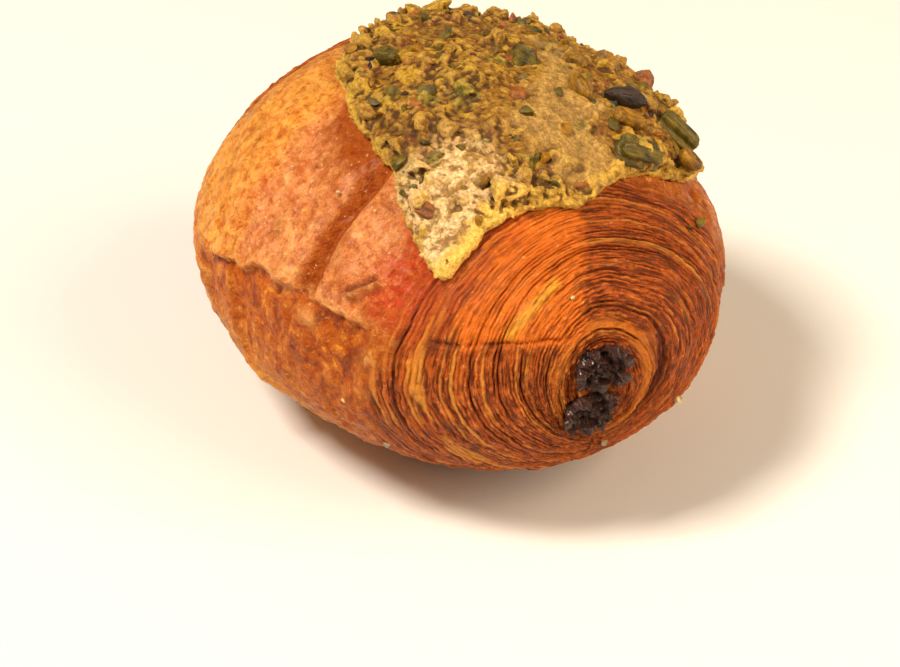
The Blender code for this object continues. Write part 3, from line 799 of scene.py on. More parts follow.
def ridge_trait(index, column):
    """Random value that belongs to one layer edge."""
    return RIDGE_TRAITS[(index.astype(int) + 128) % 256, column]


def ring_places(shares, degrees):
    """Ring of each point: the rings crowd on one side of the core and spread on the other."""
    table = np.linspace(0.0, 1.1, 331)
    lean = 0.0 * table
    for low, high, step, start in RING_OFFSETS:
        lean += start + step * smooth_step(low, high, table)
    rings = np.empty_like(shares)
    for column in range(shares.shape[1]):
        reach = table + lean * math.cos(math.radians(degrees[0, column] - RING_ANGLE))
        rings[:, column] = np.interp(shares[:, column], reach, table)
    return rings


def layer_fields(tau, degrees, points, settings, seed):
    """Height of the layer edges and what their colours follow."""
    shares = section_share(tau) + 0.0 * degrees
    rings = ring_places(shares, degrees)
    pitch = settings.layers / (RING_SPAN[1] - RING_SPAN[0])
    wobble = 0.70 * rough(points, 0.010, seed) + 0.30 * rough(points, 0.0036, seed + 1)
    wobble += 0.16 * rough(points, 0.0013, seed + 7)
    phase = pitch * (rings - RING_SPAN[0]) + SPIRAL_TURNS * ((degrees - 270.0) % 360.0) / 360.0 + wobble
    index = np.floor(phase)
    inside = phase - index
    streak = np.stack((phase, degrees * 0.045 + 0.0 * phase, 0.0 * phase), axis=-1)
    near_side = bell_round(degrees, NEAR_SIDE, 55.0)
    ribbon = smooth_step(0.35, 0.95, near_side + 0.5 * rough(streak, 4.0, seed + 8))
    crest_highlight = bell(inside, 0.5, 0.22)
    regular = ribbon * np.sin(math.pi * inside) ** 0.6 + (1.0 - ribbon) * crest_highlight
    strength = (0.15 + 1.0 * ridge_trait(index, 0)) * (0.75 + 0.8 * rough(streak, 1.3, seed + 2))
    threads = 0.5 + 0.75 * rough(streak * np.array((1.0, 1.3, 1.0)), 0.60, seed + 5, 2)
    ragged = 1.0 + 0.65 * rough(points, 0.0009, seed + 9, 2)
    crest = np.clip((0.50 * regular * strength + 0.70 * threads) * ragged, 0.0, 1.4)
    # Gaps between the layers: dents, which the material also paints dark as shade
    nearest = np.round(phase)
    away = np.abs(phase - nearest)
    deep = smooth_step(0.80, 1.0, ridge_trait(nearest, 1) + 0.30 * rough(streak, 2.2, seed + 3))
    cut = np.exp(-((away / (0.17 + 0.10 * deep)) ** 2)) * (0.14 + 0.86 * deep) * np.clip(ragged, 0.5, 1.4)
    broad = rough(streak * np.array((0.22, 0.8, 1.0)), 1.0, seed + 4)
    # Pale, less baked layer edges, made stronger on the lit near side: partly painted light
    lit = np.clip(bell_round(degrees, NEAR_SIDE, 50.0), 0.12, 1.0)
    pale = smooth_step(0.84, 1.02, ridge_trait(index, 2) + 0.40 * rough(streak, 0.9, seed + 6)) * lit ** 0.4
    scales, chosen = spots(streak * np.array((0.30, 2.2, 1.0)), 1.0, seed + 10)
    scale = smooth_step(0.50, 0.40, scales) * (chosen > 0.60)
    height = settings.layer_height * (crest - 0.6) + SWELL_RISE * broad - settings.cut_depth * cut
    height += SCALE_RISE * scale
    return {"rings": rings, "height": height, "crest": crest, "cut": cut, "pale": pale, "streak": streak}


def groove_depth(x, degrees, points):
    """Trough that runs round the roll over its top, 0 to 1."""
    centre = GROOVE_X + GROOVE_DRIFT * np.abs(degrees - GROOVE_ANGLE) + 0.0007 * rough(points, 0.008, 41)
    near_wall = bell(x, centre, 0.75 * GROOVE_HALF_WIDTH) ** 1.3
    depth = np.where(x > centre, near_wall, bell(x, centre, GROOVE_HALF_WIDTH))
    low_end, high_end = GROOVE_ENDS
    return depth * smooth_step(*low_end, degrees) * (1.0 - smooth_step(*high_end, degrees))


def flap_depth(x, degrees, points):
    """Step below each loose edge of the outer sheet, and the edge's own lip, both 0 to 1."""
    ragged = 3.2 * rough(points, 0.0065, 42) + 1.3 * rough(points, 0.0022, 43)
    depth, lip = 0.0 * x, 0.0 * x
    for edge, low, high, side in FLAPS:
        below = side * (degrees - edge) + FLAP_LEAN * x + ragged
        along = smooth_step(low, low + FLAP_RUN_IN, x) * (1.0 - smooth_step(high - FLAP_RUN_IN, high, x))
        depth = depth + along * smooth_step(-0.4, 1.3, below) * (1.0 - smooth_step(*FLAP_FADE, below))
        lip = np.maximum(lip, along * bell(below, -1.3, 1.1))
    return depth, lip


def crease_side(x, degrees, points):
    """Half a step up beyond the crease and half a step down on its near side, and the crease's own X."""
    drift = CREASE_DRIFT * np.abs(degrees - CREASE_ANGLE)
    crease_x = CREASE_X + drift + 0.0006 * rough(points, 0.006, 44)
    side = 0.5 - smooth_step(crease_x - 0.0006, crease_x + 0.0006, x)
    return side * smooth_step(*CREASE_BAND[0], x) * (1.0 - smooth_step(*CREASE_BAND[1], x)), crease_x


def flake(x, degrees):
    """Curled flake that lies across the shoulder, 0 to 1, and a dent along its lower side that the material
    paints as shadow.
    """
    along = (FLAKE_PLACE[1] - degrees) / 5.0
    across = (x - FLAKE_PLACE[0] - 0.0016 * along) / FLAKE_HALF_WIDTH
    reach = smooth_step(1.0, 0.8, np.abs(along))
    return np.exp(-(across**2)) * reach, np.exp(-((across + 1.7) ** 2)) * reach


def skin_fields(x, degrees, points):
    """Height of the smooth skin's relief, and what its colours follow."""
    angle = turned(degrees)
    bare = smooth_step(1.0, BARE_SHARE, cover_share(x, angle))
    groove = groove_depth(x, angle, points)
    flap, lip = flap_depth(x, angle, points)
    crease, crease_x = crease_side(x, angle, points)
    uneven = UNEVENNESS * rough(points, UNEVEN_SPACING, 45)
    steps = CREASE_STEP * crease - 1.45 * GROOVE_DEPTH * groove - 1.15 * FLAP_STEP * flap
    height = bare * (steps + LIP_RISE * lip + uneven)
    stretched = points * np.array((1.25, 0.8, 0.8))
    height += WRINKLE_RISE * rough(stretched, 0.0013, 46, 2) + SWELLING_RISE * rough(points, 0.0048, 47)
    # Pits: small dents, which the material also paints dark as shade
    pits, pick = spots(points, 0.0034, 3)
    pit = smooth_step(0.24, 0.08, pits) * (pick > 0.74)
    blisters, chosen = spots(points, 0.0058, 4)
    blister = smooth_step(0.36, 0.02, blisters) * (chosen > 0.6)
    curl, curl_shade = flake(x, angle)
    spotted = bare * (BLISTER_RISE * blister - PIT_DEPTH * pit)
    height += spotted + FLAKE_RISE * curl - FLAKE_SHADE_DEPTH * curl_shade
    # Painted shade in the pits, and the painted shadow under the flake
    pit = np.maximum(0.7 * pit, curl_shade)
    flank = smooth_step(160.0, 172.0, angle) * smooth_step(225.0, 200.0, angle)
    height += FLANK_FOLD_RISE * flank * (1.0 - 2.0 * np.abs(rough(points, 0.0050, 48, 2)))
    # Painted highlight on the raised lips, the flake and the knobs, kept in the lip field
    light = np.maximum(0.8 * lip, curl)
    for knob_x, knob_angle, reach, rise in KNOBS:
        knob = bell(x, knob_x, reach) * bell(angle, knob_angle, reach / ARC_PER_DEGREE)
        height += rise * knob
        light = np.maximum(light, 0.9 * knob)
    away = cover_share(x, angle) + 0.10 * rough(points, 0.0042, 49, 2)
    beside = smooth_step(1.36, 1.02, away) * (angle > 100.0)
    beside = beside * (0.30 + 0.45 * smooth_step(-0.007, 0.001, x)) * smooth_step(0.018, 0.012, x)
    return {"height": height, "groove": np.maximum(groove, beside), "lip": light, "pit": pit,
            "flap": flap * smooth_step(90.0, 120.0, angle), "crease_x": crease_x, "angle": angle}


def layer_mask(x, degrees, points, end):
    """Where the cut layers show, 0 on the smooth skin."""
    base, swell, middle, width = LAYER_EDGE
    edge = base + swell * bell_round(degrees, middle, width)
    if end < 0:
        edge = base + 0.5 * swell * bell_round(degrees, FAR_SWELL, width)
    edge = edge + 0.0013 * rough(points, 0.005, 51) + 0.0006 * rough(points, 0.0016, 52)
    return smooth_step(edge + LAYER_FADE[0], edge + LAYER_FADE[1], x * end)


def dough_surface(tau, degrees, settings):
    """Points of the dough and the fields of its material, for rows of tau and columns of degrees."""
    smooth = roll_points(tau, degrees)
    x = smooth[..., 0]
    angle = degrees + 0.0 * x
    skin = skin_fields(x, angle, smooth)
    near = layer_fields(tau, degrees, smooth, settings, 60)
    far = layer_fields(tau, degrees, smooth, settings, 80)
    front = x > 0.0
    layers = {name: np.where(front if value.ndim == 2 else front[..., None], value, far[name])
              for name, value in near.items()}
    mask = np.where(front, layer_mask(x, angle, smooth, 1), layer_mask(x, angle, smooth, -1))
    inner = layers["rings"]
    rim = bell(inner, CORE_RIM, 0.020) * (0.7 + 0.3 * np.cos(np.radians(angle - 20.0)))
    ring, side = CORE_CREVICE
    crevice_shade = bell(inner, ring, 0.022) * bell_round(angle, side, 48.0)
    under = smooth_step(0.99, 1.03, cover_share(x, skin["angle"]))
    wavering = smooth + 0.0006 * rough(smooth, 0.004, 61)[..., None]
    gaping = 0.5 + 0.5 * np.clip(1.0 + rough(smooth, 0.003, 62), 0.0, 1.0)
    crack = near_curve(wavering, CRACK, CRACK_WIDTH) * gaping
    # Painted highlight streak along one layer edge
    streak = near_curve(smooth, HIGHLIGHT_STREAK, STREAK_WIDTH) * np.clip(0.25 + layers["crest"], 0.0, 1.0)
    relief = mask * layers["height"] * (0.25 + 0.75 * under) - CRACK_DEPTH * crack + STREAK_RISE * streak
    core = CORE_RIM_RISE * rim * mask
    relief += skin["height"] * (1.0 - 0.55 * mask) + core - CORE_CREVICE_DEPTH * crevice_shade * mask
    points = smooth + roll_normals(tau, degrees) * relief[..., None]
    points[..., 2] = np.maximum(points[..., 2], 0.0)
    fields = {
        "layered": mask, "rim": rim * mask, "gleam": streak,
        "crest": layers["crest"], "streak": layers["streak"],
        # Painted shade: the gaps between layers, the core's crevice and the crack
        "cut": np.clip(layers["cut"] + crevice_shade + crack, 0.0, 1.0),
        "pale": np.maximum(layers["pale"], pale_ring(inner, angle) * front),
        "groove": skin["groove"], "flap": skin["flap"], "pit": skin["pit"], "lip": skin["lip"],
        "golden": golden_share(x, skin, smooth), "rose": rose_share(x, skin, smooth),
        "flank": flank_share(x, skin["angle"], smooth), "red": red_share(x, skin["angle"], smooth),
        # Painted patch of sunlight on the layers
        "glazed": sunlit_patch_share(x, skin["angle"], smooth),
    }
    return points + MIDDLE, fields


def pale_ring(rings, degrees):
    """One lighter ring over the top of the near end."""
    span = smooth_step(8.0, 30.0, degrees) * (1.0 - smooth_step(122.0, 140.0, degrees))
    drift = PALE_RING - 0.0002 * (degrees - 80.0)
    return bell(rings, drift, 0.0085) * span


def sunlit_patch_share(x, degrees, points):
    """Painted patch of sunlight on the layers, between the crust's pale corner and the core."""
    loose = 0.0010 * rough(points, 0.0035, 57) + 0.0005 * rough(points, 0.0012, 58)
    left = SUNLIT_PATCH_LEFT[0] + SUNLIT_PATCH_LEFT[1] * (degrees - 97.0)
    right = SUNLIT_PATCH_RIGHT[0] - SUNLIT_PATCH_RIGHT[1] * np.maximum(0.0, x - 0.037)
    share = smooth_step(-0.0012, 0.0030, x - left + 2.0 * loose)
    share = share * smooth_step(0.0018, -0.0016, points[..., 1] - right + 1.2 * loose)
    above = smooth_step(SUNLIT_PATCH_LOW - 0.0012, SUNLIT_PATCH_LOW + 0.0006, points[..., 2] + loose)
    return share * above * (degrees < 175.0)


def near_curve(points, knots, width):
    """One on a curve through some knots on the skin, falling away over a width."""
    share = np.zeros(points.shape[:-1])
    for first, last in itertools.pairwise(np.array(knots)):
        line = last - first
        along = np.clip(((points - first) @ line) / (line @ line), 0.0, 1.0)
        away = np.linalg.norm(points - first - along[..., None] * line, axis=-1)
        share = np.maximum(share, bell(away, 0.0, width))
    return share


def red_share(x, degrees, points):
    """Red skin under a deep egg wash, below the crust's pale corner."""
    band = 1.8 * bell(x, 0.0328, 0.0056) * bell(degrees, 138.0, 14.0)
    beside = 0.6 * smooth_step(1.27, 1.04, cover_share(x, degrees)) * smooth_step(0.021, 0.029, x)
    share = np.maximum(band, beside * (degrees > 100.0))
    return np.clip(share * (1.0 + 0.6 * rough(points, 0.003, 59, 2)), 0.0, 1.0)


def flank_share(x, degrees, points):
    """Darker, mottled skin below the flap, down to a golden edge."""
    loose = rough(points, 0.0075, 64, 2)
    low = 193.0 + 900.0 * x + 8.0 * loose
    below = smooth_step(166.0, 176.0, degrees) * smooth_step(low + 12.0, low - 8.0, degrees)
    return below * smooth_step(-0.026, -0.012, x + 0.004 * loose)


def golden_share(x, skin, points):
    """Where the skin is only lightly baked: behind the crease, and low on the side."""
    behind = smooth_step(0.0055, -0.0040, x - skin["crease_x"] + 0.0030 * rough(points, 0.0055, 60, 3))
    low = smooth_step(176.0, 200.0, skin["angle"]) * smooth_step(0.026, 0.012, x)
    right = smooth_step(16.0, -20.0, skin["angle"]) * smooth_step(0.012, -0.004, x)
    loose = 0.25 * rough(points, 0.009, 55)
    return np.clip(np.maximum(np.maximum(behind, 0.85 * low), 0.6 * right) + loose, 0.0, 1.0)


def rose_share(x, skin, points):
    """Egg-washed band on the shoulder, between the crease and the layers; its pink tint is partly painted
    sheen.
    """
    beyond = x - skin["crease_x"] + 0.0034 * rough(points, 0.0060, 63, 3)
    band = smooth_step(-0.0055, 0.0050, beyond) * smooth_step(0.033, 0.025, x)
    above = smooth_step(166.0, 158.0, skin["angle"]) * smooth_step(84.0, 96.0, skin["angle"])
    return np.clip(band * above * (0.85 + 0.4 * rough(points, 0.007, 56)), 0.0, 1.0)


def even_rows(first, last, count):
    """Values of tau that stand about evenly along the roll."""
    table = np.linspace(first, last, 2001)
    line = roll_points(table, 178.0)
    steps = np.linalg.norm(np.diff(line, axis=0), axis=1)
    travelled = np.concatenate(((0.0,), np.cumsum(steps)))
    return np.interp(np.linspace(0.0, travelled[-1], count), travelled, table)


def column_angles():
    """Angles round the roll, the first and the last being the same place on the underside."""
    angles = 270.0 - np.linspace(0.0, 360.0, COLUMNS + 1)
    angles[-1] = angles[0]
    return angles[None, :]


def inner_row(x):
    """Row that closes a piece inside the roll."""
    return np.broadcast_to(np.array((x, 0.0, CENTRE_HEIGHT)) + MIDDLE, (1, COLUMNS + 1, 3))


def dough_piece(name, tau, settings, closing):
    """One closed piece of the dough, closed inside the roll at the X values given for its two ends."""
    points, fields = dough_surface(tau[:, None], column_angles(), settings)
    for row, x in zip((0, -1), closing):
        if x is None:
            points[row] = points[row].mean(axis=0)
    first, last = ([] if x is None else [inner_row(x)] for x in closing)
    padded = {field: np.concatenate([values[:1]] * len(first) + [values] + [values[-1:]] * len(last))
              for field, values in fields.items()}
    piece = wrapped_grid(name, np.concatenate(first + [points] + last), padded)
    for place in STICK_HEIGHTS:
        cut_away(piece, stick_channel(place))
    smooth_shading(piece, 60.0)
    return piece


def stick_channel(place):
    """Room for one chocolate stick, from end to end."""
    stations = np.linspace(-BACK_LENGTH - CHANNEL_OVERRUN, FRONT_LENGTH + CHANNEL_OVERRUN, CHANNEL_ROWS)
    return wrapped_grid("channel_" + place, stick_points(place, stations, CHANNEL_COLUMNS, GAP), {})


def dough_material(settings):
    """Baked dough: golden and egg-washed skin, brown layer edges, and painted light: shade in the gaps, pits
    and crevices, highlights on crests and lips, and a patch of sunlight.
    """
    material, tree, shader, place = new_material("Baked Dough", 0.42, 0.06, 0.25, 0.18)
    layered, cut, crest, pale, groove, flap, pit, lip, golden, rose, rim, glazed, red, flank, gleam = (
        field_value(tree, name) for name in (
            "layered", "cut", "crest", "pale", "groove", "flap", "pit", "lip", "golden", "rose", "rim",
            "glazed", "red", "flank", "gleam"))
    height, specks, _ = baked_grain(tree, place, 900.0)
    wide = cloud(tree, place, 95.0, 4.0, 0.62, 0.4)
    blotches = cloud(tree, place, 210.0, 5.0, 0.62, 1.2)
    dull_spots = cloud(tree, place, 300.0, 4.0, 0.6, 0.8)
    dimples = cloud(tree, place, 780.0, 5.0, 0.68)
    flecks = cloud(tree, place, 1500.0, 2.0, 0.5)
    lines = cloud(tree, field_value(tree, "streak", "Vector"), 3.4, 5.0, 0.65)
    cells = add_node(tree, "ShaderNodeTexVoronoi", {"Vector": place}, {"Scale": 950.0},
                     feature="SMOOTH_F1").outputs["Distance"]
    deep = dimmed(settings.amber, 0.62)
    below = math_node(tree, "MAXIMUM", flap, product(tree, flank, 0.8))
    skin = tint(
        tree, settings.amber,
        (settings.golden, golden),
        # Egg-washed band, its pink tint partly painted sheen
        (settings.rose, rose),
        (deep, (wide, 0.52, 0.34, 0.0, 0.45)),
        (TINTS["mauve"], rose, (dull_spots, 0.50, 0.64, 0.0, 0.75)),
        (TINTS["blotch"], (blotches, 0.47, 0.34, 0.0, 0.55)),
        # Painted highlight on the lighter blotches and the dimples' crests, painted shade in the dimples and
        # the grain's hollows
        (TINTS["skin_highlight"], (blotches, 0.54, 0.68, 0.0, 0.50)),
        (deep, (dimples, 0.46, 0.34, 0.0, 0.60)),
        (TINTS["skin_highlight"], (dimples, 0.54, 0.68, 0.0, 0.65)),
        (settings.amber, (height, 0.50, 0.36, 0.0, 0.40)),
        (TINTS["groove"], (groove, 0.20, 0.62, 0.0, 0.95)),
        (TINTS["flank"], below, (blotches, 0.36, 0.56, 0.25, 0.95)),
        (TINTS["flank_stain"], below, (blotches, 0.53, 0.62, 0.0, 0.80)),
        (TINTS["flank_light"], below, (blotches, 0.44, 0.34, 0.0, 0.85)),
        # Painted highlight on the dimples' crests below the flap
        (settings.golden, below, (dimples, 0.57, 0.70, 0.0, 0.45)),
        (TINTS["red"], red, (dimples, 0.40, 0.62, 1.0, 0.55)),
        (TINTS["sparkle"], rose, (flecks, 0.66, 0.73, 0.0, 0.75)),
        # Painted highlight on the lips, the flake and the knobs
        (TINTS["lip"], lip, 0.60),
        # Painted shade in the pits and under the flake
        (settings.dark, pit, 0.75),
        # Pale specks, partly sugar and partly painted glints
        (TINTS["pale_speck_and_glint"], specks, 0.45))
    skin = shaded(tree, skin, cloud(tree, place, 560.0, 6.0, 0.72, 0.4), 0.37, 0.60, DOUGH_SHADES)
    # Layer edge colour follows the crests and the bumped lines: painted shade low down, brown between,
    # painted highlight and glints on top
    threads = math_node(tree, "ADD", crest, product(tree, math_node(tree, "SUBTRACT", lines, 0.5), 2.4))
    light = blend(tree, spread(tree, wide, 0.40, 0.60), TINTS["crest_highlight"], TINTS["deep_crest_highlight"])
    edge = tint(
        tree, dimmed(settings.brown, 0.30),
        (settings.brown, (threads, 0.15, 0.70)),
        (light, (threads, 0.74, 1.20, 0.0, 0.85)),
        (TINTS["crest_glint"], (flecks, 0.62, 0.72), (threads, 0.4, 0.9, 0.0, 0.7)),
        (TINTS["pale_layer"], pale, (crest, 0.10, 0.60, 0.35, 1.0)),
        (TINTS["core_rim"], rim, 0.8),
        (TINTS["red_layer"], red, 0.5),
        # Painted shade in the gaps, the core's crevice and the crack
        (settings.dark, cut),
        # Painted sunlight: a bright patch on the layers, with painted glints in it
        (TINTS["glaze"], glazed, (threads, 0.05, 0.6, 0.35, 0.85)),
        (TINTS["glint"], glazed, (flecks, 0.60, 0.68), (threads, 0.55, 1.0)),
        # Painted highlight streak
        (TINTS["gleam"], gleam))
    pores = math_node(tree, "ADD", product(tree, cells, 0.8), dimples)
    pores = product(tree, pores, spread(tree, layered, 0.0, 1.0, 1.0, 0.35))
    relief = math_node(tree, "ADD", height, product(tree, lines, 0.8))
    roughness = spread(tree, cloud(tree, place, 420.0, 3.0), 0.35, 0.65, 0.30, 0.52)
    relief = math_node(tree, "ADD", relief, pores)
    wire(tree, shader, blend(tree, layered, skin, edge), roughness, relief, 0.00062)
    return material


class CROISSANT_OT_dough(bpy.types.Operator):
    """Make the rolled dough: the skin and both layered ends"""
    bl_idname = "croissant.dough"
    bl_label = "Dough"

    def execute(self, context):
        settings = context.scene.croissant_dough
        material = dough_material(settings)
        start, stop = (float(tau_at(x)) for x in (SKIN_START, SKIN_END))
        for name, tau, closing in (
                ("dough_near_layers", even_rows(0.0, start, END_ROWS[0]), (None, SKIN_START)),
                ("dough_skin", even_rows(start, stop, SKIN_ROWS), (SKIN_START, SKIN_END)),
                ("dough_far_layers", even_rows(stop, math.pi, END_ROWS[1]), (SKIN_END, None))):
            piece = dough_piece(name, tau, settings, closing)
            settle(piece, material, "baked_dough", "dough")
        return {"FINISHED"}


# Chocolate sticks

def stick_points(place, stations, columns, extra=0.0):
    """Closed bar with rounded corners: its stations along X, closed to a point at both ends."""
    height, side = STICK_HEIGHTS[place], STICK_SIDES[place]
    angles = np.linspace(0.0, 2.0 * math.pi, columns + 1)
    angles[-1] = angles[0]
    x = np.concatenate(((stations[0],), stations, (stations[-1],)))[:, None]
    size = np.ones_like(x)
    size[0] = size[-1] = 0.0
    y = side + STICK_WANDER * np.sin(x / STICK_WAVE + height / GAP)
    z = height + STICK_WANDER / 2 * np.sin(x / STICK_WAVE * 1.4)
    wide = (STICK_WIDTH / 2 + extra) * signed_power(np.cos(angles), STICK_CORNER)
    thick = (STICK_THICKNESS / 2 + extra) * signed_power(np.sin(angles), STICK_CORNER)
    points = np.stack(np.broadcast_arrays(x, y + size * wide, z + size * thick), axis=-1)
    return points + MIDDLE


def burnt_stick(place):
    """Chocolate stick with fine rows of points at both ends, and the X values that it reaches to."""
    reach = (-BACK_LENGTH - STICK_PROUD, FRONT_LENGTH + STICK_PROUD)
    near = reach[1] - STICK_END * np.linspace(1.0, 0.0, STICK_END_ROWS)
    far = reach[0] + STICK_END * np.linspace(0.0, 1.0, STICK_END_ROWS)
    stations = np.concatenate((far, np.linspace(far[-1], near[0], STICK_ROWS)[1:-1], near))
    bar = stick_points(place, stations, STICK_COLUMNS)
    centre = bar.mean(axis=1, keepdims=True)
    shrink = np.linspace(0.0, 1.0, STICK_END_ROWS)[1:-1, None, None]
    first = centre[:1] + (bar[1:2] - centre[:1]) * shrink
    last = centre[-1:] + (bar[-2:-1] - centre[-1:]) * shrink[::-1]
    points = np.concatenate((bar[:1], first, bar[1:-1], last, bar[-1:]))
    return wrapped_grid(f"chocolate_stick_{place}_bar", points, {}), reach


def blister_ends(piece, reach, settings):
    """Push burnt lumps and craters into the ends of a stick."""
    places = coordinates(piece)
    normals = point_normals(piece)
    x = places[:, 0] - MIDDLE[0]
    start, stop = BLISTER_REACH
    end = np.maximum(smooth_step(reach[1] - start, reach[1] - stop, x),
                     smooth_step(reach[0] + start, reach[0] + stop, x))
    lumps, pick = spots(places, 0.0022, 8)
    craters, _ = spots(places + 0.004, 0.0016, 9)
    rise = 0.55 * smooth_step(0.80, 0.1, lumps) * (0.2 + 1.0 * pick) - 0.45 * smooth_step(0.50, 0.12, craters)
    folds = 1.0 - 2.2 * np.abs(rough(places, 0.0022, 10, 3))
    rise += 0.55 * folds * end + 0.20 * rough(places, 0.0007, 11, 2)
    side = np.abs(normals[:, 0]) < 0.5
    amount = settings.blister * (0.05 + 0.95 * end) * np.where(side, 0.35, 1.0)
    move_points(piece, places + normals * (amount * rise)[:, None])
    # Hollow field: the low places of the ends, where the material paints shade
    store(piece, "hollow", np.clip(0.5 - rise, 0.0, 1.0))


def chocolate_material(settings):
    """Burnt chocolate: near black, glossy on its blisters and ashen in places, with painted shade in its
    craters.
    """
    material, tree, shader, place = new_material("Burnt Chocolate", 0.30, 0.30, 0.10, 0.32)
    height, _, mottle = baked_grain(tree, place, 1500.0)
    ashen = spread(tree, cloud(tree, place, 900.0, 4.0, 0.65), 0.52, 0.70)
    colour = tint(
        tree, settings.colour,
        (TINTS["ash"], ashen, 0.45),
        (TINTS["warm_chocolate"], mottle, 0.4),
        # Painted shade in the craters
        (TINTS["crater_shade"], (field_value(tree, "hollow"), 0.55, 0.9)))
    wire(tree, shader, colour, spread(tree, ashen, 0.0, 1.0, 0.22, 0.6), height, 0.00060)
    return material


class CROISSANT_OT_chocolate(bpy.types.Operator):
    """Make the chocolate sticks that run through the roll"""
    bl_idname = "croissant.chocolate"
    bl_label = "Chocolate Sticks"

    def execute(self, context):
        settings = context.scene.croissant_chocolate
        material = chocolate_material(settings)
        for place in STICK_HEIGHTS:
            piece, reach = burnt_stick(place)
            blister_ends(piece, reach, settings)
            smooth_shading(piece, 70.0)
            settle(piece, material, "chocolate", "chocolate_stick_" + place)
        return {"FINISHED"}


# Crust

def crust_height(x, degrees):
    """Height of the crust's upper face over the smooth roll, away from its rim."""
    points = roll_points(tau_at(x), degrees)
    away = np.linalg.norm(topping_plane(x, degrees) - topping_plane(*HEAP_PLACE), axis=-1) / HEAP_REACH
    return CRUST_THICKNESS + HEAP_RISE * np.exp(-away * away) + CRUST_WAVES * rough(points, 0.0068, 9)


def smooth_strip(x, degrees):
    """Where the cream lies bare of nuts, 0 to 1."""
    spot = topping_plane(x, degrees)
    share = 0.0 * spot[..., 0]
    ragged = 1.0 + 0.35 * rough(np.concatenate((spot, spot[..., :1]), axis=-1), 0.0042, 30, 2)
    for centre_x, centre_degrees, width in SMOOTH_STRIP:
        away = np.linalg.norm(spot - topping_plane(centre_x, centre_degrees), axis=-1)
        share = np.maximum(share, smooth_step(width * 1.6, width * 0.6, away * ragged))
    return share


def drip_share(x, degrees):
    """The pale corner that ran down over the shoulder, 0 to 1."""
    return smooth_step(*DRIP[0], x) * smooth_step(*DRIP[1], degrees)


def crust_points(directions, rings, upper):
    """Points of the crust's upper or lower face at shares of its reach, with a ragged rim."""
    compass = np.stack((np.cos(directions), np.sin(directions), 0.0 * directions), axis=-1)
    ragged = 1.0 + 0.022 * rough(compass, 0.16, 21) + 0.016 * rough(compass, 0.055, 22)
    reach = rings * outline_reach(directions) * ragged
    spot = topping_plane(*CRUST_CENTRE) + reach[..., None] * compass[..., :2]
    x, degrees = spot[..., 0], 90.0 - spot[..., 1] / ARC_PER_DEGREE
    points, _, _, outward = skin_frames(x, degrees)
    if not upper:
        return points + outward * CRUST_CLEARANCE
    rise = CRUST_RIM + (crust_height(x, degrees) - CRUST_RIM) * (1.0 - rings**8) ** 0.5
    return points + outward * rise[..., None]


def crust_shell():
    """Closed shell of the spread crust, over and under."""
    directions = np.linspace(-math.pi, math.pi, CRUST_COLUMNS)[None, :]
    directions = np.where(directions >= math.pi, -math.pi, directions)
    over = np.sin(np.linspace(0.0, math.pi / 2, CRUST_ROWS[0]))[:, None]
    under = np.linspace(1.0, 0.0, CRUST_ROWS[1])[:, None]
    top = crust_points(directions + 0.0 * over, over + 0.0 * directions, True)
    bottom = crust_points(directions + 0.0 * under, under + 0.0 * directions, False)
    return wrapped_grid("pistachio_crust", np.concatenate((top, bottom)) + MIDDLE, {})


def chunk_master(seed, cuts=9):
    """One chopped piece of nut: a round lump with flat cuts, its edges softened."""
    chance = random.Random(seed)
    deselect()
    bpy.ops.mesh.primitive_ico_sphere_add(subdivisions=2, radius=1.0)
    piece = bpy.context.object
    activate(piece)
    bpy.ops.object.mode_set(mode="EDIT")
    for _ in range(cuts):
        normal = Vector([chance.gauss(0.0, 1.0) for _ in range(3)]).normalized()
        bpy.ops.mesh.select_all(action="SELECT")
        bpy.ops.mesh.bisect(plane_co=normal * chance.uniform(0.36, 0.70), plane_no=normal, use_fill=True,
                            clear_outer=True)
    bpy.ops.object.mode_set(mode="OBJECT")
    apply_modifier(piece, "BEVEL", width=0.07, segments=2, limit_method="ANGLE",
                   angle_limit=math.radians(32.0))
    in_edit_mode(piece, bpy.ops.mesh.quads_convert_to_tris)
    shape = coordinates(piece)
    shape = shape / np.abs(shape).max(axis=0)
    faces = [tuple(face.vertices) for face in piece.data.polygons]
    mesh = piece.data
    bpy.data.objects.remove(piece, do_unlink=True)
    bpy.data.meshes.remove(mesh)
    return shape, faces


def random_turn(chance):
    """Turn about a random axis."""
    axis = Vector([chance.gauss(0.0, 1.0) for _ in range(3)])
    return np.array(Matrix.Rotation(chance.uniform(0.0, 2.0 * math.pi), 3, axis.normalized()))


def joined_copies(name, copies):
    """One mesh out of many placed copies: shape, faces, then the turned and scaled axes and the place."""
    points, faces, tones = [], [], []
    start = 0
    for (shape, sides), axes, place, tone in copies:
        points.append(shape @ axes + place)
        faces.extend(tuple(corner + start for corner in side) for side in sides)
        tones.append(np.full(len(shape), tone))
        start += len(shape)
    mesh = bpy.data.meshes.new(name)
    mesh.from_pydata(np.concatenate(points).tolist(), [], faces)
    piece = bpy.data.objects.new(name, mesh)
    bpy.context.scene.collection.objects.link(piece)
    store(piece, "tone", np.concatenate(tones))
    return piece


def scatter(chance, count, low_ring, high_ring, avoid_strip):
    """Seeded places on the crust: X and angle round the roll."""
    places = []
    while len(places) < count:
        direction = chance.uniform(-math.pi, math.pi)
        ring = math.sqrt(chance.uniform(low_ring**2, high_ring**2))
        offset = ring * float(outline_reach(direction)) * np.array((math.cos(direction), math.sin(direction)))
        x, arc = topping_plane(*CRUST_CENTRE) + offset
        degrees = 90.0 - arc / ARC_PER_DEGREE
        if chance.random() > avoid_strip * float(smooth_strip(x, degrees)):
            places.append((x, degrees))
    return places


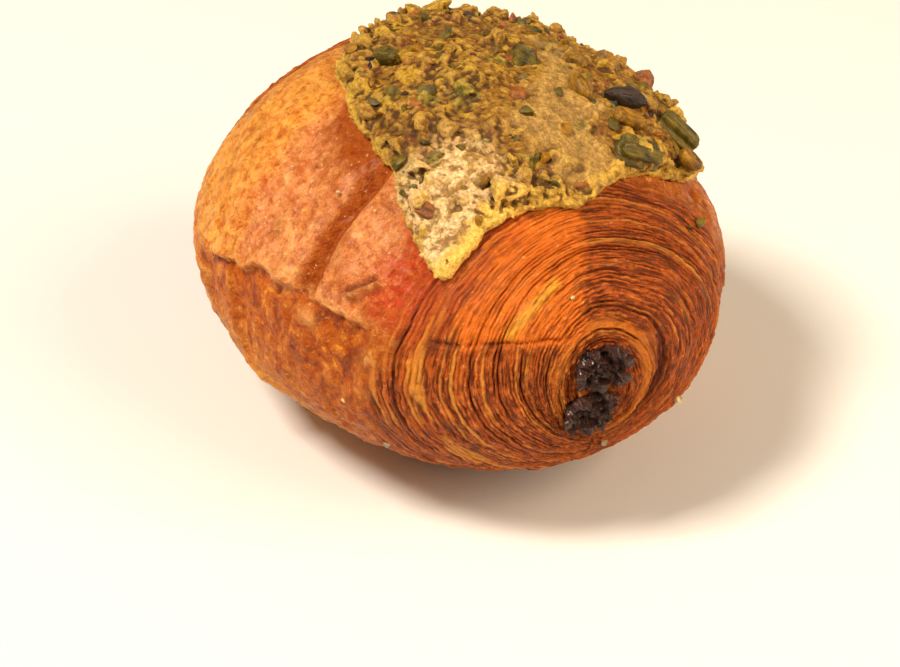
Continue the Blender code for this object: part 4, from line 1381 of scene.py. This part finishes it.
def chunk_copies(masters, chance, places, sizes, sunk, flatness=0.8):
    """Placed chunks on the crust: each one's share below the surface is set by sunk."""
    copies = []
    for x, degrees in places:
        size = chance.uniform(*sizes)
        point, _, _, outward = skin_frames(x, degrees)
        lift = float(crust_height(x, degrees)) - size * chance.uniform(*sunk)
        length, width = size * chance.uniform(0.9, 1.4), size * chance.uniform(0.7, 1.0)
        axes = np.diag((length, width, size * flatness)) / 2 @ random_turn(chance).T
        copies.append((chance.choice(masters), axes, point + outward * lift + MIDDLE, chance.random()))
    return copies


def crust_piece(settings, masters):
    """Crust with its lumps melted into one surface, then roughened."""
    chance = random.Random(31)
    shell = crust_shell()
    places = scatter(chance, settings.lumps, 0.0, 0.97, 0.93)
    copies = chunk_copies(masters, chance, places, LUMP_SIZES, (-0.02, 0.44), 0.7)
    rim = scatter(chance, RIM_LUMPS, 0.93, 1.01, 0.5)
    copies += chunk_copies(masters, chance, rim, RIM_LUMP_SIZES, (0.5, 1.1))
    lumps = joined_copies("lumps", copies)
    activate(shell)
    lumps.select_set(True)
    bpy.ops.object.join()
    apply_modifier(shell, "REMESH", mode="VOXEL", voxel_size=settings.grain, use_smooth_shade=True)
    roughen_crust(shell, copies)
    return shell


def surface_place(places):
    """X and angle round the roll of points near the skin."""
    local = places - MIDDLE
    share = local[:, 1] / (WIDTH / 2), (local[:, 2] - CENTRE_HEIGHT) / TOP_RISE
    power = SECTION_EXPONENTS[0] / 2.0
    degrees = np.degrees(np.arctan2(signed_power(share[1], power), signed_power(share[0], power)))
    return local[:, 0], turned(degrees)


def edge_average(piece, values, rounds):
    """Values averaged over neighbouring points."""
    count = len(piece.data.vertices)
    ends = np.empty(len(piece.data.edges) * 2, dtype=np.int32)
    piece.data.edges.foreach_get("vertices", ends)
    first, second = ends[::2], ends[1::2]
    degree = np.maximum(1, np.bincount(first, minlength=count) + np.bincount(second, minlength=count))
    for _ in range(rounds):
        total = np.stack([np.bincount(first, values[second, axis], count)
                          + np.bincount(second, values[first, axis], count)
                          for axis in range(values.shape[1])], axis=1)
        values = 0.4 * values + 0.6 * total / degree[:, None]
    return values


def roughen_crust(piece, copies):
    """Fine baked relief on the crust, with the fields of its material."""
    places = coordinates(piece)
    normals = point_normals(piece)
    x, degrees = surface_place(places)
    smooth = smooth_strip(x, degrees)
    pale = drip_share(x, degrees) * np.clip(1.0 + 0.5 * rough(places, 0.004, 23), 0.0, 1.0)
    holes, pick = spots(places + 0.0014 * rough(places, 0.0020, 27)[:, None], 0.0024, 12)
    crumbs, chosen = spots(places + 0.0006 * rough(places, 0.0009, 28)[:, None], 0.0010, 14)
    crags = np.abs(rough(places, 0.0044, 29, 3)) - 0.35
    loose = 1.0 - 0.85 * smooth
    rise = CRAG_RISE * crags * loose + GRIT_RISE * rough(places, 0.0010, 24, 2) * (1.0 - 0.5 * smooth)
    rise += CRUMB_RISE * smooth_step(0.60, 0.15, crumbs) * chosen * loose
    folds = 0.5 - np.abs(rough(places * np.array((0.7, 1.2, 1.0)), 0.0042, 25, 3))
    rise += (CREAM_FOLD_RISE * folds + CREAM_GRIT_RISE * rough(places, 0.0009, 26, 2)) * smooth
    open_holes = smooth_step(0.46, 0.16, holes) * (0.15 + 0.85 * pale) * (pick > 0.62)
    rise -= SUGAR_HOLE_DEPTH * open_holes * (1.0 - smooth)
    move_points(piece, places + normals * rise[:, None])
    places = coordinates(piece)
    normals = point_normals(piece)
    # Hollow field: how far each point lies below its neighbours, for painted shade in the hollows and painted
    # highlight on the crests
    finer = places
    hollow = 0.0
    for rounds, depth in zip(HOLLOW_ROUNDS, HOLLOW_DEPTHS):
        coarser = edge_average(piece, finer, rounds)
        hollow = hollow + ((coarser - finer) * normals).sum(axis=1) / depth
        finer = coarser
    fields = {
        "hollow": np.clip(0.5 + 0.5 * hollow, 0.0, 1.0), "pale": pale, "smooth": smooth,
        "edge": smooth_step(0.93, 1.0, cover_share(x, degrees)), "tone": nearest_tones(places, copies),
    }
    for name, values in fields.items():
        store(piece, name, values)


def nearest_tones(places, copies):
    """Tone of the lump that each point belongs to, 0.5 between lumps."""
    tree = kdtree.KDTree(len(copies))
    for index, (_, _, place, _) in enumerate(copies):
        tree.insert(place, index)
    tree.balance()
    tones = np.full(len(places), 0.5)
    for index, place in enumerate(places):
        _, nearest, distance = tree.find(place)
        _, axes, _, tone = copies[nearest]
        if distance < 0.9 * float(np.abs(axes).sum(axis=1).max()):
            tones[index] = tone
    return tones


def crust_material(settings):
    """Baked crust: olive and toasted grains, tan cream, a pale sugary corner with a yellow rim, painted shade
    in its hollows and painted highlight on its crests.
    """
    material, tree, shader, place = new_material("Pistachio Crust", 0.66, 0.05, 0.30, 0.32)
    hollow, pale, smooth, edge, tone = (
        field_value(tree, name) for name in ("hollow", "pale", "smooth", "edge", "tone"))
    height, specks, _ = baked_grain(tree, place, 1100.0)
    regions = cloud(tree, place, 110.0, 3.0, 0.55, 0.6)
    patches = cloud(tree, place, 330.0, 4.0, 0.65, 0.5)
    fine_patches = cloud(tree, place, 1300.0, 3.0, 0.6)
    cream = tint(
        tree, dimmed(settings.cream, 0.62),
        (settings.cream, (patches, 0.36, 0.60)),
        (TINTS["pale_cream"], (fine_patches, 0.58, 0.72, 0.0, 0.5)))
    # Painted shade in the hollows, paler in the pale corner
    crevice_shade = blend(tree, pale, TINTS["crevice_shade"], TINTS["pale_crevice_shade"])
    base = tint(
        tree, settings.olive,
        (TINTS["grain"], (patches, 0.44, 0.68)),
        (settings.toasted, (regions, 0.56, 0.70, 0.0, 0.65)),
        (TINTS["moss"], (regions, 0.46, 0.34, 0.0, 0.55)),
        (TINTS["yellow_lump"], (tone, 0.74, 0.88)),
        (settings.toasted, (tone, 0.20, 0.08)),
        (settings.toasted, (fine_patches, 0.56, 0.70, 0.0, 0.65)),
        (TINTS["green_lump"], (tone, 0.36, 0.30), (tone, 0.22, 0.27)),
        (cream, smooth, 0.85),
        (settings.pale, pale, (patches, 0.40, 0.54, 0.15, 1.0)),
        (TINTS["crust_rim"], edge, (patches, 0.38, 0.60, 0.05, 0.85)),
        (TINTS["sunny_rim"], edge, pale, (patches, 0.30, 0.50, 0.4, 1.0), 0.8),
        # Painted shade in the hollows and painted highlight on the crests
        (crevice_shade, (hollow, 0.50, 0.90, 0.0, 0.95), (smooth, 0.0, 1.0, 1.0, 0.25)),
        (TINTS["crest"], (hollow, 0.44, 0.10, 0.0, 0.40)),
        (TINTS["dark_speck"], specks, 0.5))
    base = shaded(tree, base, cloud(tree, place, 1700.0, 5.0, 0.7), 0.36, 0.64, CRUST_SHADES)
    wire(tree, shader, base, spread(tree, patches, 0.3, 0.7, 0.42, 0.70),
         math_node(tree, "ADD", height, fine_patches), 0.00042)
    return material


class CROISSANT_OT_crust(bpy.types.Operator):
    """Make the baked pistachio crust and the chopped bits on it"""
    bl_idname = "croissant.crust"
    bl_label = "Pistachio Crust"

    def execute(self, context):
        settings = context.scene.croissant_crust
        masters = [chunk_master(seed) for seed in CHUNK_SEEDS]
        settle(crust_piece(settings, masters), crust_material(settings), "pistachio_paste", "pistachio_paste")
        nuts = context.scene.croissant_nuts
        chance = random.Random(77)
        for name, count, sizes, colour, slot in CHOPPED_BITS:
            places = scatter(chance, count, 0.0, 0.96, 0.96)
            copies = chunk_copies(masters, chance, places, sizes, (-0.05, 0.26), 0.6)
            bits = joined_copies(f"chopped_{name}_bits", copies)
            smooth_shading(bits, 40.0)
            material = nut_material(f"Chopped {name.title()} Bits", getattr(nuts, colour))
            settle(bits, material, slot, "pistachio_paste")
        return {"FINISHED"}


# Nut pieces

def nut_shape(unit, kind, seed):
    """Points of one nut piece of a kind, from the points of a unit sphere, within one unit each way."""
    shape = unit.copy()
    around = np.arctan2(unit[:, 2], unit[:, 1])
    if kind == "kernel":
        shape[:, 1:] *= (1.0 - 0.22 * unit[:, :1] ** 2 + 0.10 * unit[:, :1])
        shape[:, 2] += 0.12 * (1.0 - unit[:, 0] ** 2) * (unit[:, 2] > -0.2)
        shape[:, 2] -= 0.16 * bell(unit[:, 1], 0.1, 0.13) * smooth_step(0.2, 0.8, unit[:, 2])
    elif kind == "half":
        shape[:, 2] = np.minimum(shape[:, 2], 0.50 + 0.12 * unit[:, 0])
        shape[:, 1:] *= (1.0 - 0.18 * unit[:, :1])
        shape[:, 2] -= 0.14 * bell(unit[:, 1], 0.0, 0.25) * smooth_step(0.3, 0.6, unit[:, 2])
    elif kind == "ribbed":
        size = (np.abs(unit) ** 5).sum(axis=1) ** 0.2
        shape = unit / size[:, None] * np.array((0.92, 0.9, 0.9))
        shape[:, 1:] *= (1.0 + 0.13 * np.cos(7.0 * around))[:, None] * (1.0 - 0.1 * unit[:, :1])
    elif kind == "shard":
        size = (np.abs(unit) ** 4).sum(axis=1) ** 0.25
        shape = unit / size[:, None] * 0.95
        shape[:, 1] *= 1.0 - 0.72 * smooth_step(-1.0, 1.0, unit[:, 2])
        shape[:, 0] *= 1.0 - 0.45 * smooth_step(-1.0, 1.0, unit[:, 2])
    else:
        chance = np.random.default_rng(seed)
        for _ in range(9):
            normal = chance.normal(size=3)
            normal /= np.linalg.norm(normal)
            beyond = np.maximum(0.0, shape @ normal - chance.uniform(0.55, 0.82))
            shape = shape - beyond[:, None] * normal
        shape = shape / np.abs(shape).max(axis=0)
    wrinkle = 0.075 * rough(unit, 0.62, seed) + 0.03 * rough(unit, 0.21, seed + 1)
    return shape * (1.0 + wrinkle)[:, None]


def nut_piece(name, seed):
    """One large nut piece, set half sunk in the crust."""
    x, degrees, length, width, height, turn, kind = NUTS[name]
    deselect()
    bpy.ops.mesh.primitive_ico_sphere_add(subdivisions=6, radius=1.0)
    piece = bpy.context.object
    piece.name = piece.data.name = name + "_piece"
    point, along, across, outward = skin_frames(x, degrees)
    cosine, sine = math.cos(math.radians(turn)), math.sin(math.radians(turn))
    axes = np.stack((along * cosine + across * sine, across * cosine - along * sine, outward))
    shape = nut_shape(coordinates(piece), kind, seed)
    store(piece, "tone", 0.5 + 0.5 * np.clip(shape[:, 2], -1.0, 1.0))
    store(piece, "grain", coordinates(piece))
    placed = (shape * np.array((length, width, height)) / 2) @ axes + point
    move_points(piece, placed + outward * CAD_LIFT[name] + MIDDLE)
    in_edit_mode(piece, face_outward)
    smooth_shading(piece, 60.0)
    return piece


def solid_lift(name):
    """Height of a nut piece over the smooth roll, read from the middle of its solid."""
    x, degrees, _, _, height, _, _ = NUTS[name]
    low, high = (np.array(corner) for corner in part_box(name))
    point, _, _, outward = skin_frames(x, degrees)
    return float(((low + high) / 2 - MIDDLE - point) @ outward) - 0.1 * height


CAD_LIFT = {name: solid_lift(name) for name in NUTS}


def nut_material(name, colour, streaks=0.0):
    """Toasted nut: mottled, with darker creases and waxy shine."""
    material, tree, shader, place = new_material(name, 0.45, 0.08, 0.3, 0.32)
    height, specks, mottle = baked_grain(tree, place, 1400.0)
    warm = cloud(tree, place, 620.0, 4.0, 0.6, 0.3)
    darker = dimmed(colour, 0.26)
    lighter = tuple(min(1.0, 1.7 * part + 0.006) for part in colour)
    rows = [
        (colour, (warm, 0.38, 0.64)),
        (lighter, mottle, 0.65),
        (darker, (field_value(tree, "tone"), 0.45, 0.1, 0.0, 0.45)),
    ]
    if streaks:
        squeezed = add_node(tree, "ShaderNodeMapping", {"Vector": field_value(tree, "grain", "Vector")},
                            {"Scale": (0.5, 4.0, 4.0)}).outputs["Vector"]
        rows.append((darker, (cloud(tree, squeezed, 1.6, 3.0, 0.6), 0.42, 0.62), streaks))
    base = tint(tree, darker, *rows, (TINTS["nut_speck"], specks, 0.2))
    wire(tree, shader, base, spread(tree, warm, 0.3, 0.7, 0.30, 0.55), height, 0.00020, 0.9)
    return material


class CROISSANT_OT_nuts(bpy.types.Operator):
    """Make the large pistachio pieces that sit in the crust"""
    bl_idname = "croissant.nuts"
    bl_label = "Large Nut Pieces"

    def execute(self, context):
        nuts = context.scene.croissant_nuts
        materials = {f"{colour}_nut": nut_material(f"{colour.title()} Nut", getattr(nuts, colour), 0.6)
                     for colour in ("yellow", "green", "dark", "brown")}
        for seed, name in enumerate(NUTS):
            slot = NUT_FINISHES.get(name, "yellow_nut")
            settle(nut_piece(name, 100 + 7 * seed), materials[slot], slot, name)
        return {"FINISHED"}


# Crumbs

class CROISSANT_OT_crumbs(bpy.types.Operator):
    """Drop a few crumbs of the crust on the dough"""
    bl_idname = "croissant.crumbs"
    bl_label = "Crumbs"

    def execute(self, context):
        crust = context.scene.croissant_crust
        nuts = context.scene.croissant_nuts
        colours = {"green": (nuts.green, "green_nut"), "pale": (crust.pale, "pistachio_paste")}
        chance = random.Random(90)
        masters = [chunk_master(seed, 5) for seed in CRUMB_SEEDS]
        for kind, places in CRUMBS.items():
            copies = []
            for x, degrees, size in places:
                point, _, _, outward = skin_frames(x, degrees)
                axes = np.diag((size, size * 0.8, size * 0.7)) / 2 @ random_turn(chance).T
                spot = point + outward * size * 0.12 + MIDDLE
                copies.append((chance.choice(masters), axes, spot, chance.random()))
            piece = joined_copies(f"crumbs_{kind}", copies)
            smooth_shading(piece, 40.0)
            colour, slot = colours[kind]
            settle(piece, nut_material(f"{kind.title()} Crumbs", colour), slot)
        return {"FINISHED"}


# Stage

def view_axes():
    """Directions to the right, up and back of the camera."""
    azimuth, elevation = math.radians(CAMERA_AZIMUTH), math.radians(CAMERA_ELEVATION)
    right = Vector((math.cos(azimuth), math.sin(azimuth), 0.0))
    back = Vector((math.sin(azimuth) * math.cos(elevation), -math.cos(azimuth) * math.cos(elevation),
                   math.sin(elevation)))
    return right, back.cross(right), back


def area_light(name, direction, distance, size, energy, colour):
    """Soft square light that faces the croissant."""
    light = bpy.data.lights.new(name, "AREA")
    light.size = size
    light.energy = energy
    light.color = colour
    lamp = bpy.data.objects.new(name, light)
    bpy.context.scene.collection.objects.link(lamp)
    lamp.location = Vector(CAMERA_AIM) + direction.normalized() * distance
    lamp.rotation_euler = direction.to_track_quat("Z", "Y").to_euler()


def floor_material(colour):
    """Matt pale floor with a faint mottle."""
    material, tree, shader, place = new_material("Pale Floor", 0.85, specular=0.2)
    faint = spread(tree, cloud(tree, place, 6.0, 4.0), 0.3, 0.7)
    tree.links.new(blend(tree, faint, colour, dimmed(colour, 0.97)), shader.inputs["Base Color"])
    return material


class CROISSANT_OT_stage(bpy.types.Operator):
    """Set up the floor, the soft light and the camera"""
    bl_idname = "croissant.stage"
    bl_label = "Stage"

    def execute(self, context):
        settings = context.scene.croissant_stage
        deselect()
        bpy.ops.mesh.primitive_plane_add(size=6.0, location=(0.0, 0.0, -0.0001))
        floor = context.object
        floor.name = "floor"
        bpy.ops.object.transform_apply(location=True, rotation=True, scale=True)
        floor.data.materials.append(floor_material(settings.floor))
        right, up, back = view_axes()
        world_up = Vector((0.0, 0.0, 1.0))
        for name, (shares, distance, size, colour) in LIGHTS.items():
            direction = right * shares[0] + world_up * shares[1] + back * shares[2]
            area_light(name, direction, distance, size, getattr(settings, name), colour)
        world = bpy.data.worlds.new("soft_sky")
        world.use_nodes = True
        sky = world.node_tree.nodes["Background"].inputs
        sky["Color"].default_value = SKY_COLOUR
        sky["Strength"].default_value = settings.sky
        context.scene.world = world
        context.scene.view_settings.view_transform = "Standard"
        camera = bpy.data.objects.new("camera", bpy.data.cameras.new("camera"))
        context.scene.collection.objects.link(camera)
        camera.data.lens = CAMERA_LENS
        camera.data.shift_x, camera.data.shift_y = CAMERA_SHIFT
        camera.data.clip_start = 0.01
        place = Vector(CAMERA_AIM) + back * CAMERA_DISTANCE
        turn = Matrix((right, up, back)).transposed().to_4x4()
        camera.matrix_world = Matrix.Translation(place) @ turn
        context.scene.camera = camera
        return {"FINISHED"}


# Sidebar panel

class CROISSANT_PT_panel(bpy.types.Panel):
    """Pieces of the croissant and their settings"""
    bl_idname = "CROISSANT_PT_panel"
    bl_label = "Croissant"
    bl_space_type = "VIEW_3D"
    bl_region_type = "UI"
    bl_category = "Croissant"

    def draw(self, context):
        for operator in OPERATORS:
            self.layout.operator(operator.bl_idname)
        for name in SETTINGS:
            group = getattr(context.scene, name)
            box = self.layout.box()
            for setting in group.bl_rna.properties:
                if setting.identifier not in ("rna_type", "name"):
                    box.prop(group, setting.identifier)


SETTINGS = {
    "croissant_dough": DoughSettings,
    "croissant_chocolate": ChocolateSettings,
    "croissant_crust": CrustSettings,
    "croissant_nuts": NutSettings,
    "croissant_stage": StageSettings,
}
OPERATORS = (CROISSANT_OT_dough, CROISSANT_OT_chocolate, CROISSANT_OT_crust, CROISSANT_OT_nuts,
             CROISSANT_OT_crumbs, CROISSANT_OT_stage)
CLASSES = (*SETTINGS.values(), *OPERATORS, CROISSANT_PT_panel)


def register():
    """Add the classes and the settings to the scene."""
    for kind in CLASSES:
        bpy.utils.register_class(kind)
    for name, kind in SETTINGS.items():
        setattr(bpy.types.Scene, name, PointerProperty(type=kind))


def unregister():
    """Remove the settings and the classes."""
    for name in SETTINGS:
        delattr(bpy.types.Scene, name)
    for kind in reversed(CLASSES):
        bpy.utils.unregister_class(kind)


def main():
    """Make every piece of the croissant and its stage."""
    register()
    bpy.ops.croissant.dough()
    bpy.ops.croissant.chocolate()
    bpy.ops.croissant.crust()
    bpy.ops.croissant.nuts()
    bpy.ops.croissant.crumbs()
    bpy.ops.croissant.stage()


if __name__ == "__main__":
    main()
